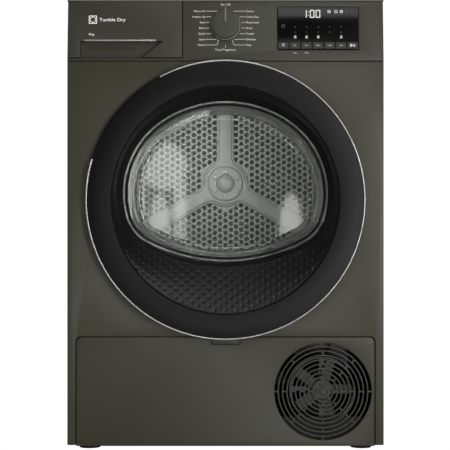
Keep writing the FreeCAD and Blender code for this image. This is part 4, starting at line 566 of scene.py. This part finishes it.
LEFT_PROGRAMMES = ("Warm Air", "Freshen Up", "Rack", "Shirts", "Quick", "Sport", "Denim")
RIGHT_PROGRAMMES = ("Cotton", "Cotton Eco", "Mixed Load", "Wool", "Towels", "Delicates", "Daily")
print_y = panel_y - 0.0001
row_pitch = 0.01062
letter_height = 0.0036
line_width = 0.0007
dial_reach = knob_radius + 0.0048
first_row, text_reach, line_reach, bend_reach = 0.0270, 0.0382, 0.0368, 0.0158
last_aim = math.radians(62.0)
build = bmesh.new()
for side, words in ((-1.0, LEFT_PROGRAMMES), (1.0, RIGHT_PROGRAMMES)):
    for row, word in enumerate(words):
        z = knob_z + first_row - row_pitch * row
        text_x = knob_x + text_reach * side
        letters(build, word, text_x, z - letter_height / 2, letter_height,
                "RIGHT" if side < 0 else "LEFT", print_y)
        off = z - knob_z
        if abs(off) < dial_reach * 0.93:
            end = (knob_x + side * math.sqrt(dial_reach ** 2 - off ** 2), z)
            stroke(build, (knob_x + line_reach * side, z), end, line_width, print_y)
        else:
            bend = (knob_x + bend_reach * side, z)
            stroke(build, (knob_x + line_reach * side, z), bend, line_width, print_y)
            end = (knob_x + dial_reach * 0.98 * math.cos(last_aim) * side * 0.92,
                   knob_z + math.copysign(dial_reach * math.sin(last_aim), off))
            stroke(build, bend, end, line_width, print_y)
for words, up, line in (("On / Off", 0.0375, (0.0290, 0.0345)),
                        ("Timed Programme", -0.0475, (-0.0370, -0.0420))):
    letters(build, words, knob_x, knob_z + up, letter_height, "CENTER", print_y)
    stroke(build, (knob_x, knob_z + line[0]), (knob_x, knob_z + line[1]), line_width, print_y)
for number, words in ((2, "Level"), (3, "Time")):
    low, high = key_boxes[number - 1]
    letters(build, words, (low[0] + high[0]) / 2, window_low[2] - 0.0065, 0.0024, "CENTER", print_y)
# Painted glow: the printed programme names and their lines shine with a faint light of their own.
piece("dial_lettering", build, white_ink_painted_glow, "cabinet", "fascia_plastic")

# Condensate drawer: an olive-grey front with a bright strip under its lip and a finger recess
# below, in front of a pale translucent tank that lies over the drum.
left_edge, right_edge = drawer_low[0], drawer_high[0]
recess_left = left_edge + 0.0245
recess_z = drawer_low[2] + 0.031
recess_top, recess_bottom = recess_left + 0.1555, recess_left + 0.117
recess_margin, recess_rise, recess_depth = 0.002, 0.019, 0.0165
drawer_outline = [
    (left_edge, drawer_low[2]), (recess_left, drawer_low[2]), (recess_left, recess_z),
    (recess_top, recess_z), (recess_bottom, drawer_low[2]), (right_edge, drawer_low[2]),
    (right_edge, drawer_high[2]), (left_edge + lean, drawer_high[2])]
build = bmesh.new()
plate(build, [drawer_outline], (drawer_low[1], drawer_high[1]), soft=moulded_edge)
back_left, back_right = recess_left - recess_margin, recess_top + recess_margin
plate(build, [[(back_left, drawer_low[2]), (back_right, drawer_low[2]),
               (back_right, recess_z + recess_rise), (back_left, recess_z + recess_rise)]],
      (drawer_low[1] + recess_depth, drawer_high[1] + 0.0002), soft=0.0)
ledge_z = drawer_low[2] + 0.0175
plate(build, [rounded_points((recess_left + 0.016, recess_bottom - 0.014), (ledge_z, ledge_z + 0.004),
                             0.0018)],
      (drawer_low[1] + 0.0135, drawer_low[1] + 0.0170), soft=0.0015)
piece("drawer_face", build, fascia_plastic, "drawer", "fascia_plastic", "drawer_front")
trim_low, trim_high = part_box("drawer_trim")
build = bmesh.new()
plate(build, [rounded_points((trim_low[0], trim_high[0]), (trim_low[2] - 0.0006, trim_high[2] - 0.0012),
                             0.0004, 3)],
      (trim_low[1], trim_high[1] + 0.0008), soft=0.0006)
piece("drawer_strip", build, bright_trim, "drawer", "bright_trim", "drawer_trim")
tank_plastic = finish("tank_plastic", (0.62, 0.62, 0.60), rough=0.45, grain=300.0)
dress(tank_plastic, "water_tank")
build = bmesh.new()
face_y = drawer_low[1] - 0.0001
sign_x, sign_z, sign_side = drawer_low[0] + 0.0415, drawer_high[2] - 0.0420, 0.014
square = [(sign_x, sign_z), (sign_x + sign_side, sign_z), (sign_x + sign_side, sign_z + sign_side),
          (sign_x, sign_z + sign_side)]
for index in range(4):
    stroke(build, square[index], square[(index + 1) % 4], 0.0011, face_y)
ring_sign(build, sign_x + sign_side / 2, sign_z + sign_side / 2, 0.0052, 0.0010, face_y)
letters(build, "Tumble Dry", sign_x + 0.019, sign_z + 0.0040, 0.0060, "LEFT", face_y, 1.15)
letters(build, "8 kg", sign_x - 0.0005, sign_z - 0.0225, 0.0040, "LEFT", face_y)
# Painted glow: the drawer's printed lettering shines with a faint light of its own.
piece("drawer_lettering", build, bold_ink_painted_glow, "drawer", "fascia_plastic")

# Door ring: a broad, flat ring of dark satin plastic with a bright rim round it. The rim stops
# at the upper left, where the ring is cut back so that fingers can reach behind it.
door_gloss = finish("door_gloss", (0.0060, 0.0060, 0.0061), rough=0.38, spread=0.08, grain=500.0,
                    shine=0.28)
ring_y, ring_back = ring_box[0][1], ring_box[1][1]
door_radius = (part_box("door_trim")[1][0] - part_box("door_trim")[0][0]) / 2
seam_radius = 0.214
trim_width = 0.003
grip_start, grip_sweep = 118.0, 45.0
grip_radius = 0.2582
skin_back, wall_radius, hollow_radius = ring_y + 0.005, door_radius - 0.0065, door_radius + 0.0022
hollow_y, hollow_inner, pocket_reach = ring_y + 0.013, 0.248, 0.062
grip_end, full_sweep = grip_start + grip_sweep, 360.0
build = bmesh.new()
outside = rounded_profile((ring_y, skin_back), (seam_radius, door_radius - trim_width), 0.0008)
lathe(build, outside, door_x, door_z, 160, grip_end, full_sweep - grip_sweep)
inside = rounded_profile((ring_y, skin_back), (seam_radius, grip_radius), 0.0008)
lathe(build, inside, door_x, door_z, 24, grip_start, grip_sweep)
hollow = [(hollow_y, hollow_inner), (hollow_y, hollow_radius), (ring_back, hollow_radius),
          (ring_back, hollow_inner)]
lathe(build, hollow, door_x, door_z, 24, grip_start, grip_sweep)
wall = [(skin_back, wall_radius), (skin_back, door_radius), (ring_back, door_radius - 0.002),
        (ring_back, wall_radius)]
pocket_half = math.degrees(math.asin(pocket_reach / door_radius))
lathe(build, wall, door_x, door_z, 64, pocket_half, grip_start - pocket_half)
lathe(build, wall, door_x, door_z, 96, grip_end, full_sweep - pocket_half - grip_end)
piece("ring_face", build, door_gloss, "door", "door_gloss", "door_ring")
build = bmesh.new()
rim = rounded_profile((ring_y - 0.0002, skin_back), (door_radius - trim_width, door_radius), 0.0013)
lathe(build, rim, door_x, door_z, 200, grip_end, full_sweep - grip_sweep)
piece("bright_rim", build, bright_trim, "door", "bright_trim", "door_trim")


# Door insert: a dark dished moulding between the ring and the glass, covered with small
# rhombic dimples; the glass is D-shaped, so the dish is deep below it and narrow above.
def port_shape(grow):
    """The centres, radii and turns of the arcs of the glass's outline, grown by a distance."""
    top, bottom, half = 0.6597, 0.3566, 0.1935
    crown, shoulder, corner, sill = 0.2154, 0.1663, 0.0755, 0.3206
    crown_z, sill_z, shoulder_x = top - crown, bottom + sill, half - shoulder
    shoulder_z = crown_z + math.sqrt((crown - shoulder) ** 2 - shoulder_x ** 2)
    across, up = -shoulder_x, sill_z - shoulder_z
    span = math.hypot(across, up)
    along = ((shoulder - corner) ** 2 - (sill - corner) ** 2 + span ** 2) / (2 * span)
    aside = math.sqrt((shoulder - corner) ** 2 - along ** 2)
    corner_x = shoulder_x + (along * across + aside * up) / span
    corner_z = shoulder_z + (along * up - aside * across) / span
    crown_turn = math.atan2(shoulder_z - crown_z, shoulder_x)
    corner_turn = math.atan2(corner_z - shoulder_z, corner_x - shoulder_x)
    sill_turn = math.atan2(corner_z - sill_z, corner_x)
    return [(0.0, crown_z, crown + grow, crown_turn, math.pi / 2),
            (shoulder_x, shoulder_z, shoulder + grow, corner_turn, crown_turn),
            (corner_x, corner_z, corner + grow, sill_turn, corner_turn),
            (0.0, sill_z, sill + grow, -math.pi / 2, sill_turn)]


port_x, port_z = 0.0, 0.500


def port_radius(angle, grow):
    """How far the outline is from the glass's middle in a direction, from its arcs."""
    dx, dz = abs(math.cos(angle)), math.sin(angle)
    best = None
    for x, z, radius, low, high in port_shape(grow):
        ox, oz = -x, port_z - z
        b = ox * dx + oz * dz
        c = ox * ox + oz * oz - radius * radius
        reach = -b + math.sqrt(max(0.0, b * b - c))
        turn = math.atan2(oz + reach * dz, ox + reach * dx)
        miss = max(low - turn, turn - high, 0.0)
        if best is None or miss < best[0]:
            best = (miss, reach)
    return best[1]


def port_points(grow, count=144, reach=port_radius):
    """An outline round the glass's middle; how far out it runs is up to its reach."""
    turns = [2 * math.pi * index / count for index in range(count)]
    return [(port_x + reach(turn, grow) * math.cos(turn), port_z + reach(turn, grow) * math.sin(turn))
            for turn in turns]


def seam_distance(angle, radius):
    """How far a circle round the door's axis is from the glass's middle in a direction."""
    dz = math.sin(angle)
    off = port_z - door_z
    return -off * dz + math.sqrt((off * dz) ** 2 - off * off + radius * radius)


def seam_points(radius, count):
    return port_points(radius, count, seam_distance)


def loft(build, rings):
    """Bridge loops of equally many points, each given with its plane along y."""
    loops = [loop_edges(build, points, y) for points, y in rings]
    for first, second in zip(loops, loops[1:]):
        bmesh.ops.bridge_loops(build, edges=first + second)


def mixed(first, second, share):
    return [(a[0] + (b[0] - a[0]) * share, a[1] + (b[1] - a[1]) * share) for a, b in zip(first, second)]


door_dark = finish("door_dark", (0.0125, 0.0125, 0.0130), rough=0.42, spread=0.1, grain=700.0)
dish_front = ring_y + 0.0022
dish_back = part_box("door_glass")[0][1] - 0.001
shelf_y = ring_y + 0.030
dimple_x, dimple_z = 0.0103, 0.0078
dimple_half_x, dimple_half_z, dimple_depth = 0.0025, 0.0034, 0.0015


def dimple_at(x, z):
    """How deep the nearest dimple of the staggered rows is at a point."""
    column, row = round((x - port_x) / dimple_x), round((z - port_z) / dimple_z)
    deepest = 0.0
    for near_column, near_row in ((column, row), (column + 1, row), (column - 1, row), (column, row + 1),
                                  (column, row - 1)):
        if (near_column + near_row) % 2:
            continue
        across = (x - port_x - near_column * dimple_x) / dimple_half_x
        up = (z - port_z - near_row * dimple_z) / dimple_half_z
        deepest = max(deepest, dimple_depth * (1.0 - across * across - up * up))
    return deepest


build = bmesh.new()
dish_count, dish_steps, dish_curve, dish_thick = 720, 44, 1.3, 0.0012
lip_line = seam_points(seam_radius - 0.0024, dish_count)
shelf_line = port_points(0.0115, dish_count)
rings = [(seam_points(seam_radius - inset, dish_count), ring_y + back) for inset, back in (
    (0.0004, 0.005), (0.0004, 0.0006), (0.0010, 0.0001))]
for step in range(dish_steps + 1):
    share = step / dish_steps
    rings.append((mixed(lip_line, shelf_line, share),
                  dish_front + (shelf_y - dish_front) * share ** dish_curve))
rings += [(port_points(grow, dish_count), y) for grow, y in (
    (0.0095, shelf_y + 0.0030), (0.0060, shelf_y + 0.012), (0.0035, dish_back - 0.004),
    (0.0010, dish_back), (0.0035, dish_back + 0.003))]
loft(build, rings)
for vert in build.verts:
    if dish_front + 0.0002 < vert.co.y < shelf_y - 0.0005:
        vert.co.y += dimple_at(vert.co.x, vert.co.z)
bmesh.ops.recalc_face_normals(build, faces=build.faces[:])
facing = sum(face.normal.y * face.calc_area() for face in build.faces)
bmesh.ops.solidify(build, geom=build.faces[:], thickness=dish_thick if facing < 0 else -dish_thick)
bmesh.ops.recalc_face_normals(build, faces=build.faces[:])
piece("dished_insert", build, door_dark, "door", "door_dark", "door_cone", angle=50.0)

# Glass: a clear moulded bowl with a thick rolled rim that reaches into the drum's mouth. The
# door's rear shell, seal, hinge and catch stand behind it and keep their own shapes.
def clear_glass(name, tint):
    """Clear glass that mirrors at its edges, with slight waves and a faint white diffuse share at
    glancing angles: a painted sheen that brightens its rim.
    """
    material = bpy.data.materials.new(name)
    material.use_nodes = True
    nodes, links = material.node_tree.nodes, material.node_tree.links
    nodes.remove(nodes["Principled BSDF"])
    through = nodes.new("ShaderNodeBsdfTransparent")
    mirror = nodes.new("ShaderNodeBsdfGlossy")
    through.inputs["Color"].default_value = coloured(tint)
    mirror.inputs["Roughness"].default_value = 0.045
    mirror.inputs["Color"].default_value = (1.0, 1.0, 1.0, 1.0)
    edge = nodes.new("ShaderNodeFresnel")
    edge.inputs["IOR"].default_value = 1.52
    place = nodes.new("ShaderNodeTexCoord")
    waves = noise(nodes, links, place.outputs["Object"], 14.0, 1.0)
    bump = nodes.new("ShaderNodeBump")
    bump.inputs["Strength"].default_value = 0.2
    bump.inputs["Distance"].default_value = 0.00012
    links.new(waves.outputs["Fac"], bump.inputs["Height"])
    links.new(bump.outputs["Normal"], mirror.inputs["Normal"])
    links.new(bump.outputs["Normal"], edge.inputs["Normal"])
    both = nodes.new("ShaderNodeMixShader")
    links.new(edge.outputs["Fac"], both.inputs[0])
    links.new(through.outputs[0], both.inputs[1])
    links.new(mirror.outputs[0], both.inputs[2])
    # Painted sheen: a pale diffuse share that grows towards glancing angles brightens the glass's edges.
    painted_edge_sheen = nodes.new("ShaderNodeBsdfDiffuse")
    painted_edge_sheen.inputs["Color"].default_value = (0.75, 0.75, 0.75, 1.0)
    facing = nodes.new("ShaderNodeLayerWeight")
    facing.inputs["Blend"].default_value = 0.5
    depth = math_node(nodes, "POWER", 3.0)
    links.new(facing.outputs["Facing"], depth.inputs[0])
    share = math_node(nodes, "MULTIPLY", 0.10)
    links.new(depth.outputs[0], share.inputs[0])
    whole = nodes.new("ShaderNodeMixShader")
    links.new(share.outputs[0], whole.inputs[0])
    links.new(both.outputs[0], whole.inputs[1])
    links.new(painted_edge_sheen.outputs[0], whole.inputs[2])
    links.new(whole.outputs[0], nodes["Material Output"].inputs["Surface"])
    return material


door_glass = clear_glass("door_glass", (0.90, 0.91, 0.90))
glass_low, glass_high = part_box("door_glass")
rim_y, bowl_y = glass_low[1], glass_high[1]
glass_thick, rim_outer, rim_inner, rim_round = 0.004, 0.008, 0.001, 0.0045
bowl_inset, corner_round, back_step = 0.0125, 0.013, 0.003
build = bmesh.new()
rings = [(port_points(rim_outer), rim_y + 0.0035), (port_points(rim_outer), rim_y + 0.0010),
         (port_points(rim_outer - 0.0010), rim_y), (port_points(rim_inner), rim_y)]
for step in range(1, 5):
    turn = math.radians(22.5 * step)
    rings.append((port_points(rim_inner - rim_round * math.sin(turn)),
                  rim_y + rim_round * (1 - math.cos(turn))))
rings.append((port_points(-bowl_inset), bowl_y - corner_round))
for step in range(1, 7):
    turn = math.radians(15.0 * step)
    rings.append((port_points(-bowl_inset - corner_round * (1 - math.cos(turn))),
                  bowl_y - corner_round * (1 - math.sin(turn))))
rings.append((port_points(-bowl_inset - corner_round - back_step), bowl_y))
loft(build, rings)
back_loop = [edge for edge in build.edges
             if edge.is_boundary and edge.verts[0].co.y > bowl_y - 0.0005]
bmesh.ops.contextual_create(build, geom=back_loop)
bmesh.ops.recalc_face_normals(build, faces=build.faces[:])
inwards = sum(face.normal.y * face.calc_area() for face in build.faces)
bmesh.ops.solidify(build, geom=build.faces[:], thickness=glass_thick if inwards > 0 else -glass_thick)
bmesh.ops.recalc_face_normals(build, faces=build.faces[:])
piece("glass_bowl", build, door_glass, "door", "door_glass", "door_glass", angle=50.0)
dress(door_dark, "door_rear_shell")
dress(finish("seal_rubber", (0.03, 0.03, 0.03), rough=0.75, grain=500.0, sheen=0.1), "door_seal")
dress(finish("hinge_steel", (0.50, 0.50, 0.50), rough=0.32, metal=1.0, grain=300.0),
      "door_hinge_leaf", "door_hinge_bracket", "hinge_pin")
dress(finish("latch_plastic", (0.10, 0.10, 0.10), rough=0.5), "door_striker", "door_catch")

# Mouth: a grey bulkhead moulding that closes the drum's front, the felt that the drum's lip runs
# on, and the lint filter.
dress(finish("mouth_plastic", (0.16, 0.16, 0.16), rough=0.5, grain=900.0), "front_bulkhead")
dress(finish("filter_mesh", (0.32, 0.33, 0.35), rough=0.6, grain=1500.0), "lint_filter")
dress(finish("felt", (0.30, 0.30, 0.28), rough=0.95, grain=1800.0, relief=0.0003, spread=0.25,
             sheen=0.4), "felt_seal")

# Drum: rolled stainless sheet with three lifters; its back is a sheet with rows of air holes
# behind a pressed three-armed hub with six screws round a domed cap.
drum_steel = finish("drum_steel", (0.40, 0.40, 0.395), rough=0.48, metal=0.34, spread=0.06, grain=600.0,
                    relief=0.000015, stretch=(1.0, 0.3, 1.0))
dress(drum_steel, "drum_shell", "drum_back_plate")
dress(finish("lifter_plastic", (0.30, 0.30, 0.29), rough=0.5, grain=700.0), "drum_lifters")
drum_low, drum_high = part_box("drum_shell")
drum_x, drum_z = (drum_low[0] + drum_high[0]) / 2, (drum_low[2] + drum_high[2]) / 2
hub_steel = finish("hub_steel", (0.46, 0.46, 0.455), rough=0.42, metal=0.45, spread=0.05, grain=500.0,
                   relief=0.000015)
plate_y, stub_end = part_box("drum_back_plate")[0][1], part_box("drum_hub")[1][1]
star_radius, arm_half, arm_end = 0.052, 0.0195, 0.270
flare_radius = 0.022
press_inset, press_soft, stub_radius, screw_circle = 0.0048, 0.0030, 0.010, 0.028
arm_turns = [math.radians(angle) for angle in (90.0, 210.0, 330.0)]
third = math.radians(120.0)


def hub_outline(inset):
    """The hub's outline: three straight arms that flow into a round middle through fillets."""
    points = []
    radius, half, fillet = star_radius - inset, arm_half - inset, flare_radius + inset
    centre_along = math.sqrt((radius + fillet) ** 2 - (half + fillet) ** 2)
    lean_angle = math.atan2(half + fillet, centre_along)
    for turn in arm_turns:
        local = [(arm_end - inset, -half), (arm_end - inset, half)]
        for step in range(7):
            angle = -math.pi / 2 - (math.pi / 2 - lean_angle) * step / 6
            local.append((centre_along + fillet * math.cos(angle),
                          half + fillet + fillet * math.sin(angle)))
        for step in range(1, 6):
            angle = lean_angle + (third - 2 * lean_angle) * step / 6
            local.append((radius * math.cos(angle), radius * math.sin(angle)))
        for step in range(7):
            angle = -math.pi / 2 - (math.pi / 2 - lean_angle) * (6 - step) / 6
            u, v = centre_along + fillet * math.cos(angle), -(half + fillet + fillet * math.sin(angle))
            local.append((u * math.cos(third) - v * math.sin(third),
                          u * math.sin(third) + v * math.cos(third)))
        for u, v in local:
            points.append((drum_x + u * math.cos(turn) - v * math.sin(turn),
                           drum_z + u * math.sin(turn) + v * math.cos(turn)))
    return points


def ahead_of_plate(*steps):
    """A profile given as (distance ahead of the drum's back, radius)."""
    return [(plate_y - ahead, radius) for ahead, radius in steps]


build = bmesh.new()
plate(build, [hub_outline(0.0)], (plate_y - 0.0035, plate_y + 0.0002), soft=press_soft, steps=4)
plate(build, [hub_outline(press_inset)], (plate_y - 0.0062, plate_y - 0.0030), soft=press_soft, steps=4)
lathe(build, ahead_of_plate((0.004, 0.0), (0.004, 0.0405), (0.0085, 0.0395), (0.0098, 0.0375),
                            (0.0102, 0.0350), (0.0102, 0.0215), (0.0085, 0.0205), (0.0100, 0.0190),
                            (0.0125, 0.0145), (0.0138, 0.0080), (0.0141, 0.0)), drum_x, drum_z, 96)
lathe(build, ahead_of_plate((0.001, 0.0), (0.001, stub_radius))
      + [(stub_end, stub_radius), (stub_end, 0.0)], drum_x, drum_z, 48)
piece("hub_pressing", build, hub_steel, "drum", "drum_steel", "drum_hub")
screw_steel = finish("screw_steel", (0.62, 0.62, 0.61), rough=0.30, metal=0.5, grain=300.0)
build = bmesh.new()
screw_profile = ahead_of_plate((0.0100, 0.0), (0.0100, 0.0056), (0.0122, 0.0056), (0.0134, 0.0046),
                               (0.0134, 0.0036), (0.0116, 0.0026), (0.0116, 0.0))
for index in range(6):
    turn = math.radians(30.0 + 60.0 * index)
    lathe(build, screw_profile, drum_x + screw_circle * math.cos(turn),
          drum_z + screw_circle * math.sin(turn), 24)
piece("hub_bolts", build, screw_steel, "drum", "screw_steel", "hub_screws")

# Kick flap: a shallow olive-grey moulding with a round grille: eleven rings of slots, their ribs
# held by bridges that turn by an eighth from ring to ring.
flap_plastic = finish("flap_plastic", (0.098, 0.098, 0.064), rough=0.42, spread=0.05, grain=1200.0)
grille_x, grille_z = 0.184, 0.111
slot_rings, slot_pitch, slot_first, slot_width = 11, 0.0082, 0.0066, 0.0057
bridge, overlap = 0.0025, 0.0004
grille_radius = slot_first + slot_pitch * (slot_rings - 1) + slot_width / 2
button_low, button_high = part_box("flap_button")
notch, notch_top = 0.042, button_high[2]
corner, button_gap, skirt, tab_cut = 0.010, 0.0008, 0.003, 0.002
slot_left, slot_right = button_low[0] - button_gap, button_high[0] + button_gap
flap_outline = [(x, z) for x, z in circle_points(
    flap_high[0] - corner, flap_high[2] - corner, corner, 6, 0.0, 105.0)][:6]
flap_outline += [(notch, flap_high[2]), (notch, notch_top), (slot_right, notch_top),
                 (slot_right, button_low[2] - button_gap), (slot_left, button_low[2] - button_gap),
                 (slot_left, notch_top), (-notch, notch_top), (-notch, flap_high[2])]
flap_outline += [(-x, z) for x, z in flap_outline[5::-1]]
flap_outline += [(flap_low[0], flap_low[2]), (flap_high[0], flap_low[2])]
build = bmesh.new()
plate(build, [flap_outline, circle_points(grille_x, grille_z, grille_radius, 96)],
      (flap_low[1], flap_low[1] + 0.004), soft=0.0014)
rib_depth = (flap_low[1] + 0.0003, flap_low[1] + 0.0035)
for ring in range(slot_rings):
    outer = slot_first + slot_pitch * ring - slot_width / 2
    inner = outer - (slot_pitch - slot_width)
    if ring == 0:
        lathe(build, [(rib_depth[1], 0.0), (rib_depth[1], outer), (rib_depth[0] + 0.0004, outer),
                      (rib_depth[0], outer - 0.0005), (rib_depth[0], 0.0)], grille_x, grille_z, 32)
    else:
        lathe(build, rounded_profile(rib_depth, (inner, outer), 0.0005, 2), grille_x, grille_z,
              48 + 6 * ring)
    first = 45.0 if ring % 2 or ring == 0 else 0.0
    for quarter in range(4):
        turn = math.radians(first + 90.0 * quarter)
        near, far = outer - overlap, outer + slot_width + overlap
        stroke(build, (grille_x + near * math.cos(turn), grille_z + near * math.sin(turn)),
               (grille_x + far * math.cos(turn), grille_z + far * math.sin(turn)), bridge,
               (rib_depth[0] + rib_depth[1]) / 2 + 0.0002, rib_depth[1] - rib_depth[0] - 0.0004)
skirt_y = flap_low[1] + 0.003
for x0, x1, z0, z1 in ((flap_low[0], flap_low[0] + skirt, flap_low[2], flap_high[2] - corner),
                       (flap_high[0] - skirt, flap_high[0], flap_low[2], flap_high[2] - corner),
                       (flap_low[0], flap_high[0], flap_low[2], flap_low[2] + skirt),
                       (flap_low[0] + corner, -notch, flap_high[2] - skirt, flap_high[2]),
                       (notch, flap_high[0] - corner, flap_high[2] - skirt, flap_high[2])):
    bar(build, (x0, x1), (z0, z1), (skirt_y + flap_high[1]) / 2, flap_high[1] - skirt_y)
piece("flap_face", build, flap_plastic, "flap", "flap_plastic", "kick_flap")
build = bmesh.new()
plate(build, [[(button_low[0] + tab_cut, button_low[2]), (button_high[0] - tab_cut, button_low[2]),
               (button_high[0], button_low[2] + tab_cut), (button_high[0], button_high[2]),
               (button_low[0], button_high[2]), (button_low[0], button_low[2] + tab_cut)]],
      (button_low[1], button_high[1]), soft=0.0008)
piece("flap_tab", build, flap_plastic, "flap_latch", "flap_plastic", "flap_button")

# Inside the base and at the back: dark tray and covers, fan parts painted pale to make up for the shade
# behind the grille, and zinc sheet, with the coils, compressor, motor, belt, rollers, screws and feet,
# all kept in their own shapes.
dress(finish("base_plastic", (0.022, 0.022, 0.023), rough=0.55, grain=700.0),
      "base_tray", "fan_housing", "evaporator_cover", "cable_gland")
# The fan and its shroud sit in shade behind the grille; their pale colour is painted light that makes up
# for it.
dress(finish("shroud_plastic_painted_light", (0.22, 0.22, 0.20), rough=0.55, grain=700.0), "fan_shroud", "cooling_fan")
dress(finish("zinc_sheet", (0.42, 0.43, 0.44), rough=0.38, metal=0.85, spread=0.18, grain=70.0),
      "rear_panel", "rear_duct_cover", "rear_bearing_bracket")
dress(finish("coil_aluminium", (0.60, 0.60, 0.61), rough=0.35, metal=0.9), "heat_exchangers")
dress(finish("compressor_paint", (0.014, 0.014, 0.014), rough=0.35, coat=0.3), "compressor")
for name in ("motor_housing", "motor_rotor"):
    dress(finish(name + "_metal", (0.38, 0.38, 0.39), rough=0.42, metal=0.8, grain=200.0), name)
dress(finish("belt_rubber", (0.016, 0.016, 0.016), rough=0.8, grain=500.0), "drive_belt")
for name in ("roller_left", "roller_right"):
    dress(finish(name + "_rubber", (0.05, 0.05, 0.05), rough=0.7, grain=500.0), name)
dress(screw_steel, "panel_screws")
for name in ("foot_front_left", "foot_front_right", "foot_rear_left", "foot_rear_right"):
    dress(finish(name + "_rubber", (0.02, 0.02, 0.02), rough=0.7, grain=600.0), name)
